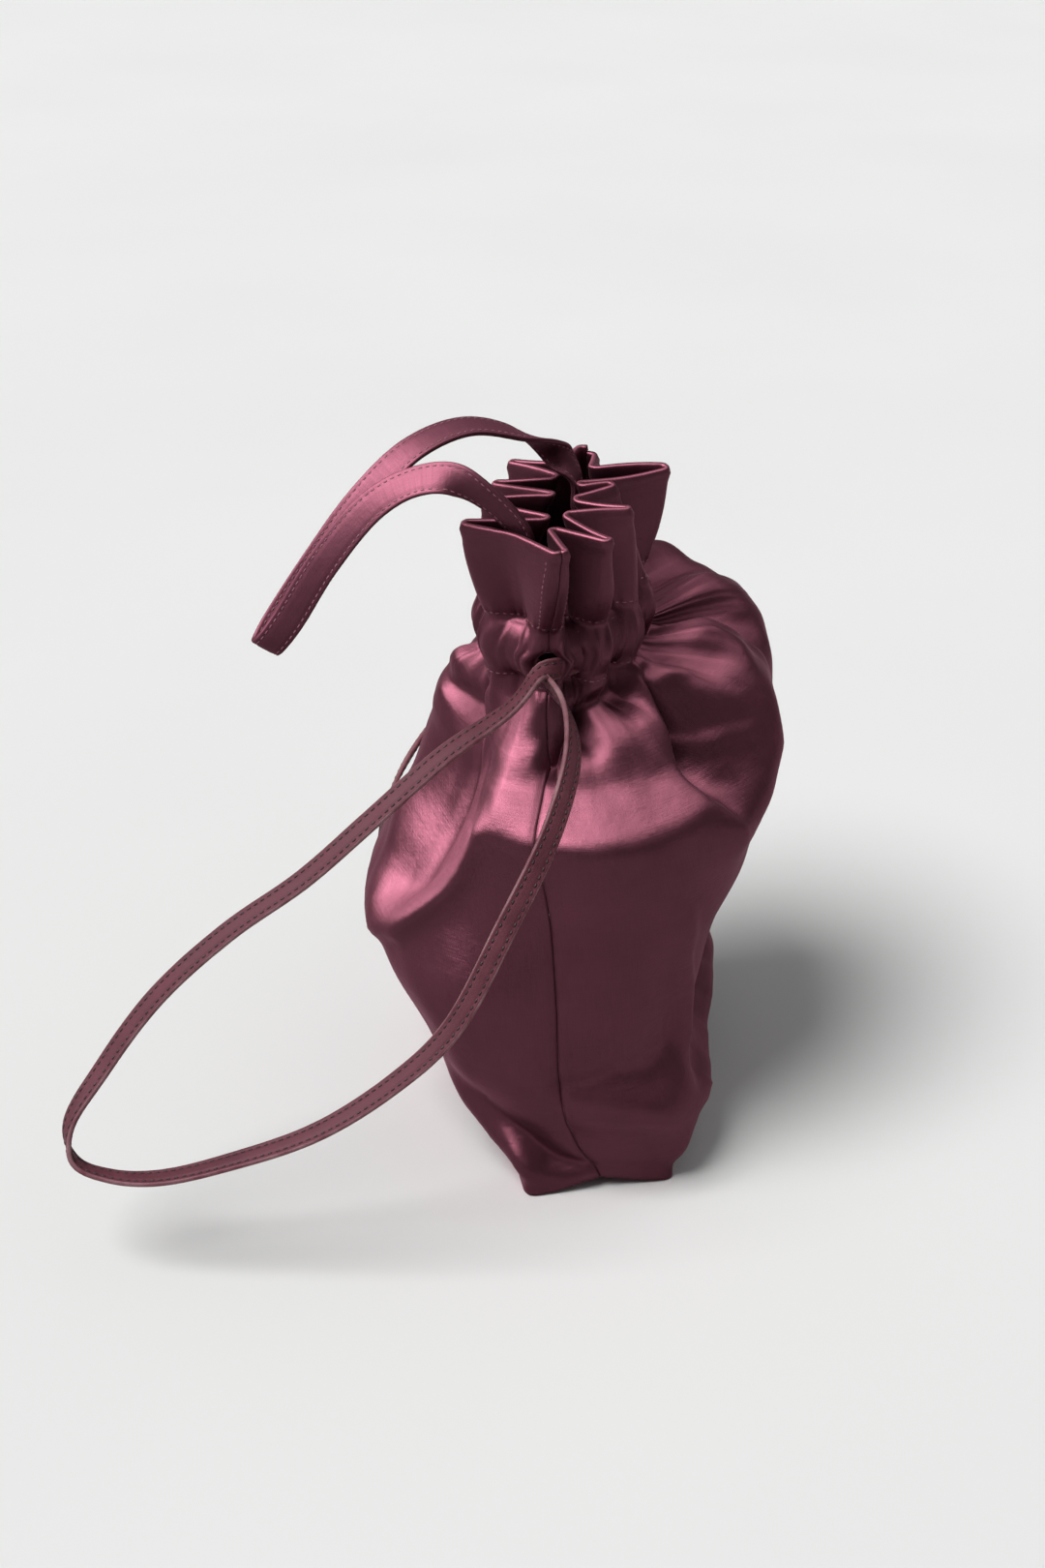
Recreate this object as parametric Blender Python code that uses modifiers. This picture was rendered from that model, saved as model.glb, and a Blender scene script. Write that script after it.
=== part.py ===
"""Drawstring pouch of satin, standing, drawn shut.

Two satin panels are sewn together along the sides and round a flat base. Above the
stitched casing the cloth stands up as a pleated header of two layers. Two flat leather
drawstrings run through the casing, one drawn out of each side, and a satin strap is sewn
inside the mouth as a handle. Sizes are in metres and +Z is up. X is the length of the
base, and the pouch is looked at from -X, where one side seam faces the viewer.
"""

import math

import bpy
import numpy as np

# Cloth and clearances
CLOTH = 0.0008
GAP = 0.0003
LAYER_STEP = CLOTH + 0.00035

# Base
BASE_LENGTH = 0.158
BASE_WIDTH = 0.052
BASE_THICKNESS = 0.001
BASE_CORNER = 0.004

# Leather drawstrings
STRING_WIDTH = 0.007
STRING_THICKNESS = 0.0018
STRING_PLAY = 0.0009

# Satin handle
HANDLE_WIDTH = 0.010
HANDLE_THICKNESS = 0.002
HANDLE_PLAY = 0.0012

# Heights
NECK_HEIGHT = 0.176
HEADER_HEIGHT = 0.034

# Gathers
PLEAT_DEPTH_AT_STITCHES = 0.0038
PUFF_OUT = 0.0040
PUFF_IN = 0.0028
HEM_BELOW_CASING = 0.0035

# Derived sizes
PANEL_WIDTH = BASE_LENGTH + BASE_WIDTH
GIRTH = 2 * PANEL_WIDTH
PER_MILLE = PANEL_WIDTH / 1000
TUNNEL_HALF = STRING_THICKNESS / 2 + STRING_PLAY + CLOTH / 2 + 0.0004
LOW_STRING = NECK_HEIGHT + 0.0026 + STRING_WIDTH / 2
HIGH_STRING = LOW_STRING + STRING_WIDTH + 0.0007
CASING_TOP = HIGH_STRING + STRING_WIDTH / 2 + 0.0026
TOP = CASING_TOP + HEADER_HEIGHT
OPENING_HALF = STRING_THICKNESS * 2 + 0.0020
OPENING_REACH = 0.016
FOLD_FLAT = 0.0032
SEAM_FLAT = 0.0048
FOLD_ROUNDING = 0.0011

# Rings of the outside below the casing: height as a share of NECK_HEIGHT, then centre x,
# centre y, half length and half width in thousandths of PANEL_WIDTH, then turn in degrees,
# squareness, and how much the ring rises towards RISE_WAY.
RINGS = (
    (0.000, 0, 0, 376, 124, 0, 8.0, 0.00),
    (0.125, -24, -62, 368, 242, -12, 3.8, 0.00),
    (0.273, -30, -6, 376, 234, -11, 2.9, 0.00),
    (0.443, -36, 26, 346, 291, -11, 2.5, 0.00),
    (0.614, -40, -18, 334, 298, -19, 2.3, 0.03),
    (0.784, -40, -62, 350, 274, -29, 2.2, 0.09),
    (0.905, -28, -66, 372, 238, -29, 2.2, 0.18),
    (0.965, -34, -34, 304, 190, -27, 2.1, 0.17),
    (1.000, -42, 0, 168, 108, -25, 2.0, 0.00),
)
RISE_WAY = (0.77, -0.64)
NECK_X = RINGS[-1][1] * PER_MILLE
NECK_Y = RINGS[-1][2] * PER_MILLE
NECK_LENGTH = RINGS[-1][3] * PER_MILLE
NECK_WIDTH = RINGS[-1][4] * PER_MILLE
NECK_TURN = math.radians(RINGS[-1][5])

# Fold lines of the mouth, in thousandths of PANEL_WIDTH along and across the neck. The
# front ones and the back ones both start at the near seam and end at the far seam, and
# every second one is an inner fold.
FRONT_FOLDS = (
    (-267, -57), (-178, -22), (-192, -112), (-116, -26), (-62, -112), (-26, -22),
    (34, -66), (22, -18), (124, -134), (100, -22), (172, 4),
)
BACK_FOLDS = (
    (-267, -57), (-217, 28), (-182, 110), (-128, -4), (-76, 104), (-40, 8), (12, 116),
    (44, 22), (98, 112), (108, 28), (172, 4),
)

# Creases and swellings of the body: kind of path, then depth in thousandths of
# PANEL_WIDTH, breadth in thousandths, and the points of the path as the share of the girth
# from the near seam (front side positive) and the ring level.
CREASES = (
    (-22, 44, ((0.045, 7.2), (0.075, 6.2), (0.10, 5.4))),
    (16, 44, ((0.13, 6.8), (0.16, 5.6), (0.19, 4.7))),
    (-18, 40, ((0.19, 6.6), (0.20, 5.4), (0.205, 4.4))),
    (18, 44, ((0.24, 6.6), (0.245, 5.4), (0.24, 4.4))),
    (12, 60, ((-0.07, 6.4), (-0.08, 5.2), (-0.08, 4.2))),
    (-12, 50, ((-0.125, 6.0), (-0.13, 5.0), (-0.12, 4.0))),
    (16, 60, ((-0.17, 6.0), (-0.19, 4.6), (-0.20, 3.6))),
    (-14, 50, ((0.05, 1.6), (0.09, 1.4))),
    (12, 50, ((0.03, 0.9), (0.09, 0.7), (0.14, 0.5))),
    (-16, 50, ((-0.01, 1.3), (0.0, 0.6), (0.005, 0.0))),
    (-14, 60, ((0.40, 5.6), (0.41, 4.4), (0.40, 3.2))),
    (-14, 60, ((-0.34, 5.6), (-0.33, 4.2), (-0.35, 3.0))),
    (14, 60, ((-0.42, 6.0), (-0.43, 4.6))),
)

SATIN = (0.119, 0.030, 0.048, 1.0)
LEATHER = (0.130, 0.052, 0.062, 1.0)


def clear_scene():
    for obj in list(bpy.data.objects):
        bpy.data.objects.remove(obj, do_unlink=True)


def hermite(x, xs, ys):
    """Smooth curve through the points, flat where they turn back."""
    xs = np.asarray(xs, float)
    ys = np.asarray(ys, float)
    step = np.diff(xs)
    slope = np.diff(ys) / step
    tangent = np.zeros(len(xs))
    tangent[0] = slope[0]
    tangent[-1] = slope[-1]
    tangent[1:-1] = (slope[:-1] * step[1:] + slope[1:] * step[:-1]) / (step[:-1] + step[1:])
    x = np.clip(x, xs[0], xs[-1])
    i = np.clip(np.searchsorted(xs, x, side="right") - 1, 0, len(xs) - 2)
    h = step[i]
    t = (x - xs[i]) / h
    a = (1 + 2 * t) * (1 - t) ** 2
    b = t * (1 - t) ** 2
    c = t * t * (3 - 2 * t)
    d = t * t * (t - 1)
    return a * ys[i] + b * h * tangent[i] + c * ys[i + 1] + d * h * tangent[i + 1]


def ease(x):
    x = np.clip(x, 0.0, 1.0)
    return x * x * (3 - 2 * x)


RING_LEVELS = np.arange(len(RINGS))
RING_VALUES = np.array(RINGS, float)


def outline(level, count=720):
    """Closed outline of the outside at a ring level, from the near seam by the front side."""
    share, cx, cy, half_x, half_y, turn, square, _ = (
        hermite(level, RING_LEVELS, RING_VALUES[:, i]) for i in range(8)
    )
    angle = math.pi + 2 * math.pi * np.arange(count) / count
    cosine = np.cos(angle)
    sine = np.sin(angle)
    x = half_x * np.sign(cosine) * np.abs(cosine) ** (2 / square)
    y = half_y * np.sign(sine) * np.abs(sine) ** (2 / square)
    corner = 1 - ease(level / 1.4)
    turn = math.radians(turn)
    px = cx + x * math.cos(turn) - y * math.sin(turn)
    py = cy + x * math.sin(turn) + y * math.cos(turn)
    if corner > 0:
        square_x, square_y = base_outline(angle)
        ring_x = px * (1 - corner) + square_x * corner
        ring_y = py * (1 - corner) + square_y * corner
        px, py = ring_x, ring_y
    return px * PER_MILLE, py * PER_MILLE, share * NECK_HEIGHT


def base_outline(angle):
    """Rounded rectangle of the base by direction, in thousandths of PANEL_WIDTH."""
    half_x = BASE_LENGTH / 2 / PER_MILLE
    half_y = BASE_WIDTH / 2 / PER_MILLE
    round_off = BASE_CORNER / PER_MILLE
    share = (np.degrees(angle) - 180) / 360
    short = 2 * half_y
    length = 4 * (half_x + half_y)
    along = (share % 1.0) * length
    x = np.empty_like(along)
    y = np.empty_like(along)
    for i, s in enumerate(along):
        if s < short / 2:
            x[i], y[i] = -half_x, -s
        elif s < short / 2 + 2 * half_x:
            x[i], y[i] = -half_x + s - short / 2, -half_y
        elif s < short * 1.5 + 2 * half_x:
            x[i], y[i] = half_x, -half_y + s - short / 2 - 2 * half_x
        elif s < short * 1.5 + 4 * half_x:
            x[i], y[i] = half_x - (s - short * 1.5 - 2 * half_x), half_y
        else:
            x[i], y[i] = -half_x, half_y - (s - short * 1.5 - 4 * half_x)
    reach = max(1, int(round(round_off / length * len(along))))
    window = np.ones(2 * reach + 1) / (2 * reach + 1)
    wrap = slice(reach, reach + len(along))
    x = np.convolve(np.concatenate([x[-reach:], x, x[:reach]]), window, "same")[wrap]
    y = np.convolve(np.concatenate([y[-reach:], y, y[:reach]]), window, "same")[wrap]
    return x, y


def at_share(px, py, share):
    """Points and outward normals at shares of an outline's length."""
    x = np.append(px, px[0])
    y = np.append(py, py[0])
    walked = np.concatenate([[0], np.cumsum(np.hypot(np.diff(x), np.diff(y)))])
    want = (np.asarray(share, float) % 1.0) * walked[-1]
    qx = np.interp(want, walked, x)
    qy = np.interp(want, walked, y)
    tx = np.interp((want + walked[-1] * 0.004) % walked[-1], walked, x)
    ty = np.interp((want + walked[-1] * 0.004) % walked[-1], walked, y)
    bx = np.interp((want - walked[-1] * 0.004) % walked[-1], walked, x)
    by = np.interp((want - walked[-1] * 0.004) % walked[-1], walked, y)
    length = np.hypot(tx - bx, ty - by) + 1e-12
    return np.stack([qx, qy], -1), np.stack([(ty - by) / length, -(tx - bx) / length], -1)


def folded_line():
    """The mouth's fold lines as the two edges of each fold's flat tip.

    Gives each edge's place in the cloth, front positive and back negative, its point in
    the neck's frame, and +1 for an outer fold or -1 for an inner one.
    """
    front = np.array(FRONT_FOLDS, float) * PER_MILLE
    back = np.array(BACK_FOLDS, float) * PER_MILLE
    points = np.concatenate([back[::-1], front[1:-1]])
    near = len(back) - 1
    into = points - np.roll(points, 1, axis=0)
    out = np.roll(points, -1, axis=0) - points
    into /= np.linalg.norm(into, axis=1)[:, None]
    out /= np.linalg.norm(out, axis=1)[:, None]
    along = (into + out) / np.linalg.norm(into + out, axis=1)[:, None]
    flat = np.full(len(points), FOLD_FLAT)
    flat[[0, near]] = SEAM_FLAT
    edges = np.stack([points - along * flat[:, None] / 2, points + along * flat[:, None] / 2], 1)
    sign = np.where(np.arange(len(points)) % 2 == 0, 1.0, -1.0)
    loop = np.concatenate([edges.reshape(-1, 2)[1:], edges[0]])
    walked = np.concatenate([[0], np.cumsum(np.linalg.norm(np.diff(loop, axis=0), axis=1))])
    walked += SEAM_FLAT / 2
    walked[-1] -= SEAM_FLAT / 2
    middle = (walked[2 * near - 1] + walked[2 * near]) / 2
    whole = walked[-1]
    run = np.where(
        walked < middle,
        (walked / middle - 1) * PANEL_WIDTH,
        (walked - middle) / (whole - middle) * PANEL_WIDTH,
    )
    run = np.concatenate([[-PANEL_WIDTH], run])
    loop = np.concatenate([[points[0]], loop[:-1], [points[0]]])
    signs = np.concatenate([np.repeat(sign, 2), [sign[0], sign[0]]])
    return run, loop, signs


EDGE_RUN, EDGE_POINTS, EDGE_SIGN = folded_line()


def fold_runs(side):
    """Places in the cloth of a panel's folds, from the near seam at 0 to the far one."""
    edges = EDGE_RUN * side
    edges = np.sort(edges[(edges > 1e-6) & (edges < PANEL_WIDTH - 1e-6)])
    middles = (edges[1:-1:2] + edges[2:-1:2]) / 2
    return np.concatenate([[0.0], middles, [PANEL_WIDTH]]), edges


def wrapped(run):
    """Place in the cloth brought into -PANEL_WIDTH to PANEL_WIDTH."""
    return (np.asarray(run, float) + PANEL_WIDTH) % GIRTH - PANEL_WIDTH


def wave(run):
    """+1 on each outer fold, -1 on each inner one."""
    run = wrapped(run)
    i = np.clip(np.searchsorted(EDGE_RUN, run, side="right") - 1, 0, len(EDGE_RUN) - 2)
    t = ease((run - EDGE_RUN[i]) / (EDGE_RUN[i + 1] - EDGE_RUN[i]))
    return EDGE_SIGN[i] * (1 - t) + EDGE_SIGN[i + 1] * t


def neck_length():
    px, py, _ = outline(float(len(RINGS) - 1))
    return np.hypot(np.diff(np.append(px, px[0])), np.diff(np.append(py, py[0]))).sum()


def ring_share_of_edges():
    """Share of the neck's outline where each fold's edges stand."""
    count = 1440
    angle = 2 * math.pi * np.arange(count + 1) / count
    x = NECK_LENGTH * np.cos(angle + math.pi)
    y = NECK_WIDTH * np.sin(angle + math.pi)
    walked = np.concatenate([[0], np.cumsum(np.hypot(np.diff(x), np.diff(y)))])
    walked /= walked[-1]
    folds = np.arange(2, len(EDGE_RUN) - 2, 2)
    middle_run = (EDGE_RUN[folds] + EDGE_RUN[folds + 1]) / 2
    middle = (EDGE_POINTS[folds] + EDGE_POINTS[folds + 1]) / 2
    sign = EDGE_SIGN[folds]
    direction = np.arctan2(middle[:, 1] / NECK_WIDTH, middle[:, 0] / NECK_LENGTH)
    share = np.interp((direction - math.pi) % (2 * math.pi), angle, walked)
    share = np.where(middle_run < -1e-6, np.where(share > 0.02, share - 1, share), share)
    share = np.where((np.abs(middle_run) < 1e-6) & (share > 0.5), share - 1, share)
    end = EDGE_POINTS[0]
    end_direction = math.atan2(end[1] / NECK_WIDTH, end[0] / NECK_LENGTH)
    end_share = np.interp((end_direction - math.pi) % (2 * math.pi), angle, walked)
    full = np.concatenate([[end_share - 1], share, [end_share]])
    run = np.concatenate([[-PANEL_WIDTH], middle_run, [PANEL_WIDTH]])
    signs = np.concatenate([[1.0], sign, [1.0]])
    for i in np.where(signs < 0)[0]:
        full[i] = (full[i - 1] + full[i + 1]) / 2
    full = 0.45 * full + 0.55 * run / GIRTH
    around = neck_length()
    edge_share = [full[0], full[0] + SEAM_FLAT / 2 / around]
    for i, place in enumerate(full[1:-1]):
        flat = SEAM_FLAT if abs(middle_run[i]) < 1e-6 else FOLD_FLAT
        edge_share += [place - flat / 2 / around, place + flat / 2 / around]
    edge_share += [full[-1] - SEAM_FLAT / 2 / around, full[-1]]
    return np.array(edge_share)


EDGE_SHARE = ring_share_of_edges()


def neck_share(run):
    """Share of the neck's outline that a place in the cloth is gathered to."""
    turns = np.floor((np.asarray(run, float) + PANEL_WIDTH) / GIRTH)
    return np.interp(wrapped(run), EDGE_RUN, EDGE_SHARE) + turns


def mouth(run):
    """Centre line between the header's layers at the top, in plan."""
    fine = np.linspace(-PANEL_WIDTH, PANEL_WIDTH, 4201)
    rounded = []
    for i in range(2):
        line = np.interp(fine, EDGE_RUN, EDGE_POINTS[:, i])
        line = averaged(line, FOLD_ROUNDING / (fine[1] - fine[0]))
        rounded.append(np.interp(wrapped(run), fine, line))
    return neck_frame(*rounded)


def averaged(line, reach):
    """Closed line averaged over this many steps to each side."""
    reach = int(round(reach))
    window = np.ones(2 * reach + 1) / (2 * reach + 1)
    return np.convolve(np.concatenate([line[-reach - 1:-1], line, line[1:reach + 1]]), window, "valid")


def neck_frame(along, across):
    c = math.cos(NECK_TURN)
    s = math.sin(NECK_TURN)
    return np.stack([NECK_X + along * c - across * s, NECK_Y + along * s + across * c], -1)


def neck_ring(share):
    px, py, _ = outline(float(len(RINGS) - 1))
    return at_share(px, py, share)


def opened(run):
    """Share of the neck's outline with the cloth drawn back from both string openings."""
    share = neck_share(run)
    around = neck_length()
    panel_middle = np.sign(np.median(run)) * PANEL_WIDTH / 2
    for seam in (0.0, PANEL_WIDTH, -PANEL_WIDTH):
        middle = float(neck_share(np.array([seam]))[0])
        away = (share - middle) * around
        side = np.sign(panel_middle - seam)
        moved = side * (OPENING_HALF + np.abs(away) * (1 - OPENING_HALF / OPENING_REACH))
        share = middle + np.where(np.abs(away) < OPENING_REACH, moved, away) / around
    return share


def creases(run, level):
    """Height of the creases and swellings of the body at a place in the cloth."""
    total = np.zeros(np.shape(run))
    here_x = np.asarray(run, float) / PER_MILLE
    here_y = np.asarray(level, float) * NECK_HEIGHT * 1.15 / 8 / PER_MILLE
    for depth, breadth, path in CREASES:
        points = np.array(path, float)
        ax = points[:, 0] * GIRTH / PER_MILLE
        ay = points[:, 1] * NECK_HEIGHT * 1.15 / 8 / PER_MILLE
        nearest = np.full(np.shape(run), 1e9)
        for i in range(len(points) - 1):
            dx = ax[i + 1] - ax[i]
            dy = ay[i + 1] - ay[i]
            gx = here_x - ax[i]
            gx = (gx + 1000) % 2000 - 1000
            gy = here_y - ay[i]
            t = np.clip((gx * dx + gy * dy) / (dx * dx + dy * dy), 0, 1)
            nearest = np.minimum(nearest, np.hypot(gx - t * dx, gy - t * dy))
        total += depth * np.exp(-((nearest / breadth) ** 2))
    return total * PER_MILLE


def body_row(run, level):
    """Outside of the body at a ring level, below the casing."""
    px, py, z = outline(level)
    rise_share = hermite(level, RING_LEVELS, RING_VALUES[:, 7])
    top = float(len(RINGS) - 1)
    gather = ease((level - 4.6) / (top - 4.6))
    share = np.asarray(run) / GIRTH * (1 - gather) + neck_share(run) * gather
    point, normal = at_share(px, py, share)
    gathers = hermite(level, (0, 3.5, 4.5, 5.5, 6.4, 7.2, 8.0), (0, 0, 0.05, 0.22, 0.65, 1.05, 1.0))
    lift = hermite(level, (0, 5.0, 6.4, 7.2, 8.0), (0, 0, 0.55, 0.85, 0.0))
    out = hermite(level, (0, 5.0, 6.4, 7.2, 8.0), (1.0, 1.0, 0.85, 0.65, 1.0))
    rise = wave(run) * PLEAT_DEPTH_AT_STITCHES * gathers
    fade = ease((top - level) / 1.2) * ease(level / 0.5)
    extra = creases(run, level) * fade
    tilt = (point - [px.mean(), py.mean()]) @ RISE_WAY * rise_share
    spot = point + normal * (rise * out + extra)[:, None]
    foot = GAP * (level < 0.5)
    return np.column_stack([spot, z + foot + tilt + rise * lift + extra * 0.25 * (level > 5)])


def stitched_row(run, z, side):
    """One layer of a stitched line of the casing: side is +1 for the outside."""
    point, normal = neck_ring(neck_share(run))
    centre = point + normal * (wave(run) * PLEAT_DEPTH_AT_STITCHES)[:, None]
    return np.column_stack([layered(centre, side), np.full(len(run), z)])


def layered(centre, side):
    """Points moved half a layer step off the centre line, outwards for side +1."""
    ahead = centre_line_neighbour(centre, 1)
    behind = centre_line_neighbour(centre, -1)
    first = centre - behind
    second = ahead - centre
    first /= np.linalg.norm(first, axis=1)[:, None] + 1e-12
    second /= np.linalg.norm(second, axis=1)[:, None] + 1e-12
    tangent = first + second
    tangent /= np.linalg.norm(tangent, axis=1)[:, None] + 1e-12
    normal = np.column_stack([tangent[:, 1], -tangent[:, 0]])
    mitre = np.clip((normal * np.column_stack([second[:, 1], -second[:, 0]])).sum(1), 0.45, 1.0)
    return centre + normal * (side * LAYER_STEP / 2 / mitre)[:, None]


def centre_line_neighbour(points, way):
    """The next point of a row, carried straight on at its ends."""
    if way > 0:
        return np.vstack([points[1:], 2 * points[-1] - points[-2]])
    return np.vstack([2 * points[0] - points[1], points[:-1]])


def casing_row(run, z, side, fullness):
    """One layer of the string tunnel."""
    share = opened(run) if side > 0 else neck_share(run)
    point, normal = neck_ring(share)
    away = np.minimum(np.abs(wrapped(run)), PANEL_WIDTH - np.abs(wrapped(run)))
    calm = ease(away / 0.012) if side > 0 else 1.0
    if side > 0:
        puff = PUFF_OUT * (0.5 + 0.5 * wave(run)) * fullness * calm
    else:
        puff = -PUFF_IN * (0.5 - 0.5 * wave(run)) * fullness
    return np.column_stack([point + normal * (side * TUNNEL_HALF + puff)[:, None], np.full(len(run), z)])


def header_row(run, share, side):
    """One layer of the header: share runs from the casing at 0 to the top at 1."""
    point, normal = neck_ring(neck_share(run))
    low = point + normal * (wave(run) * PLEAT_DEPTH_AT_STITCHES)[:, None]
    spread = share ** 0.75
    centre = low * (1 - spread) + mouth(run) * spread
    z = np.full(len(run), CASING_TOP + HEADER_HEIGHT * share)
    if side:
        centre = layered(centre, side)
    return np.column_stack([centre, z])


def columns(side):
    """Places in the cloth of a panel's columns: each fold's edges, and some between."""
    _, edges = fold_runs(side)
    places = [0.0]
    for i in range(0, len(edges), 2):
        start, end = edges[i], edges[i + 1]
        places.append(start)
        if end - start > 0.016:
            places += [start + (end - start) / 3, start + (end - start) * 2 / 3]
        elif end - start > 0.005:
            places.append((start + end) / 2)
        places.append(end)
    places.append(PANEL_WIDTH)
    for corner in (BASE_WIDTH / 2, BASE_WIDTH / 2 + BASE_LENGTH):
        nearest = int(np.argmin(np.abs(np.array(places) - corner)))
        if abs(places[nearest] - corner) < FOLD_FLAT / 2:
            places[nearest] = corner
        else:
            places.append(corner)
    return np.sort(places)


BODY_LEVELS = (0.0, 0.4, 0.9, 1.5, 2.1, 2.8, 3.5, 4.2, 4.9, 5.5, 6.1, 6.7, 7.3, 8.0)


def panel_rows(run):
    rows = [body_row(run, level) for level in BODY_LEVELS[:-1]]
    tunnel_low = LOW_STRING - STRING_WIDTH / 2
    tunnel_high = HIGH_STRING + STRING_WIDTH / 2
    middle = (tunnel_low + tunnel_high) / 2
    rows.append(stitched_row(run, NECK_HEIGHT, 1))
    rows.append(casing_row(run, tunnel_low, 1, 0.7))
    rows.append(casing_row(run, middle, 1, 1.0))
    rows.append(casing_row(run, tunnel_high, 1, 0.7))
    rows.append(stitched_row(run, CASING_TOP, 1))
    rows.append(header_row(run, 0.30, 1))
    rows.append(header_row(run, 0.65, 1))
    edge = 1 - LAYER_STEP / 2 / HEADER_HEIGHT
    rows.append(header_row(run, edge, 1))
    rows.append(header_row(run, 1.0, 0))
    rows.append(header_row(run, edge, -1))
    rows.append(header_row(run, 0.50, -1))
    rows.append(stitched_row(run, CASING_TOP, -1))
    rows.append(casing_row(run, tunnel_high, -1, 0.7))
    rows.append(casing_row(run, tunnel_low, -1, 0.7))
    rows.append(stitched_row(run, NECK_HEIGHT, -1))
    hem = stitched_row(run, NECK_HEIGHT - HEM_BELOW_CASING, -1)
    rows.append(hem)
    return rows


def seam_gap(row):
    """Draws both ends of a row back by half the gap between the panels."""
    for end, beside in ((0, 1), (-1, -2)):
        way = row[beside] - row[end]
        row[end] += way / (np.linalg.norm(way) + 1e-12) * GAP / 2 * 1.05
    return row


def material(name, colour, roughness, metallic=0.0):
    mat = bpy.data.materials.new(name)
    mat.use_nodes = True
    shader = mat.node_tree.nodes["Principled BSDF"]
    shader.inputs["Base Color"].default_value = colour
    shader.inputs["Roughness"].default_value = roughness
    shader.inputs["Metallic"].default_value = metallic
    mat.diffuse_color = colour
    mat.roughness = roughness
    mat.metallic = metallic
    return mat


def solid_sheet(name, rows, thickness, mat, collection, turned=False):
    """Closed solid of a grid of points: the grid's faces given their thickness."""
    rows = np.asarray(rows)
    high, wide = rows.shape[:2]
    faces = []
    for i in range(high - 1):
        for j in range(wide - 1):
            corner = i * wide + j
            face = (corner, corner + 1, corner + wide + 1, corner + wide)
            faces.append(face[::-1] if turned else face)
    mesh = bpy.data.meshes.new(name)
    mesh.from_pydata([tuple(p) for p in rows.reshape(-1, 3)], [], faces)
    mesh.update()
    obj = bpy.data.objects.new(name, mesh)
    collection.objects.link(obj)
    obj.data.materials.append(mat)
    thick = obj.modifiers.new("thickness", "SOLIDIFY")
    thick.thickness = thickness
    thick.offset = 0.0
    thick.use_even_offset = False
    return obj


def panel(name, side, mat, collection):
    """side is +1 for the front panel and -1 for the back one."""
    run = np.sort(columns(side) * side)
    beyond = SEAM_FLAT / 2
    run = np.concatenate([[run[0] - beyond], run, [run[-1] + beyond]])
    rows = [seam_gap(row[1:-1]) for row in panel_rows(run)]
    return solid_sheet(name, rows, CLOTH, mat, collection)


def base(mat, collection):
    """Flat base inside the foot of the panels."""
    run = np.concatenate([-columns(-1)[::-1], columns(1)[1:-1]])
    foot = body_row(run, 0.0)[:, :2]
    inset = CLOTH / 2 + GAP * 1.1
    ahead = np.roll(foot, -1, axis=0)
    behind = np.roll(foot, 1, axis=0)
    first = foot - behind
    second = ahead - foot
    first /= np.linalg.norm(first, axis=1)[:, None]
    second /= np.linalg.norm(second, axis=1)[:, None]
    tangent = first + second
    tangent /= np.linalg.norm(tangent, axis=1)[:, None]
    normal = np.column_stack([tangent[:, 1], -tangent[:, 0]])
    mitre = (normal * np.column_stack([second[:, 1], -second[:, 0]])).sum(1)
    inner = foot - normal * (inset / np.clip(mitre, 0.5, 1))[:, None]
    count = len(inner)
    points = [(x, y, 0.0) for x, y in inner] + [(x, y, BASE_THICKNESS) for x, y in inner]
    faces = [tuple(range(count))[::-1], tuple(range(count, 2 * count))]
    for i in range(count):
        j = (i + 1) % count
        faces.append((i, j, j + count, i + count))
    mesh = bpy.data.meshes.new("base_panel")
    mesh.from_pydata(points, [], faces)
    mesh.update()
    obj = bpy.data.objects.new("base_panel", mesh)
    collection.objects.link(obj)
    obj.data.materials.append(mat)
    return obj


def smooth_route(points, normals, spacing):
    """Points and normals along a smooth curve through the given ones, evenly spaced."""
    points = np.asarray(points, float)
    normals = np.asarray(normals, float)
    chord = np.sqrt(np.linalg.norm(np.diff(points, axis=0), axis=1))
    knot = np.concatenate([[0], np.cumsum(chord)])
    fine = np.linspace(0, knot[-1], 4000)
    curve = np.column_stack([hermite(fine, knot, points[:, i]) for i in range(3)])
    facing = np.column_stack([hermite(fine, knot, normals[:, i]) for i in range(3)])
    walked = np.concatenate([[0], np.cumsum(np.linalg.norm(np.diff(curve, axis=0), axis=1))])
    stops = spacing(walked, curve)
    centre = np.column_stack([np.interp(stops, walked, curve[:, i]) for i in range(3)])
    facing = np.column_stack([np.interp(stops, walked, facing[:, i]) for i in range(3)])
    tangent = np.gradient(centre, axis=0)
    tangent /= np.linalg.norm(tangent, axis=1)[:, None]
    facing -= tangent * (facing * tangent).sum(1)[:, None]
    facing /= np.linalg.norm(facing, axis=1)[:, None]
    return centre, tangent, facing


def by_bend(shortest, longest, count_limit):
    """Spacing that is shorter where the curve bends."""

    def stops(walked, curve):
        tangent = np.gradient(curve, axis=0)
        tangent /= np.linalg.norm(tangent, axis=1)[:, None] + 1e-12
        turn = np.linalg.norm(np.gradient(tangent, axis=0), axis=1)
        bend = turn / (np.gradient(walked) + 1e-12)
        kernel = np.ones(61) / 61
        bend = np.convolve(np.pad(bend, 30, mode="edge"), kernel, "valid")
        step = np.clip(0.26 / (bend + 1e-6), shortest, longest)
        need = np.concatenate([[0], np.cumsum(np.diff(walked) / step[:-1])])
        count = int(min(count_limit, max(4, math.ceil(need[-1]))))
        return np.interp(np.linspace(0, need[-1], count + 1), need, walked)

    return stops


def ribbon(name, points, normals, width, thickness, spacing, mat, collection):
    centre, tangent, facing = smooth_route(points, normals, spacing)
    across = np.cross(tangent, facing)
    rows = np.stack([centre - across * width / 2, centre + across * width / 2], axis=1)
    return solid_sheet(name, rows, thickness, mat, collection)


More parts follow.
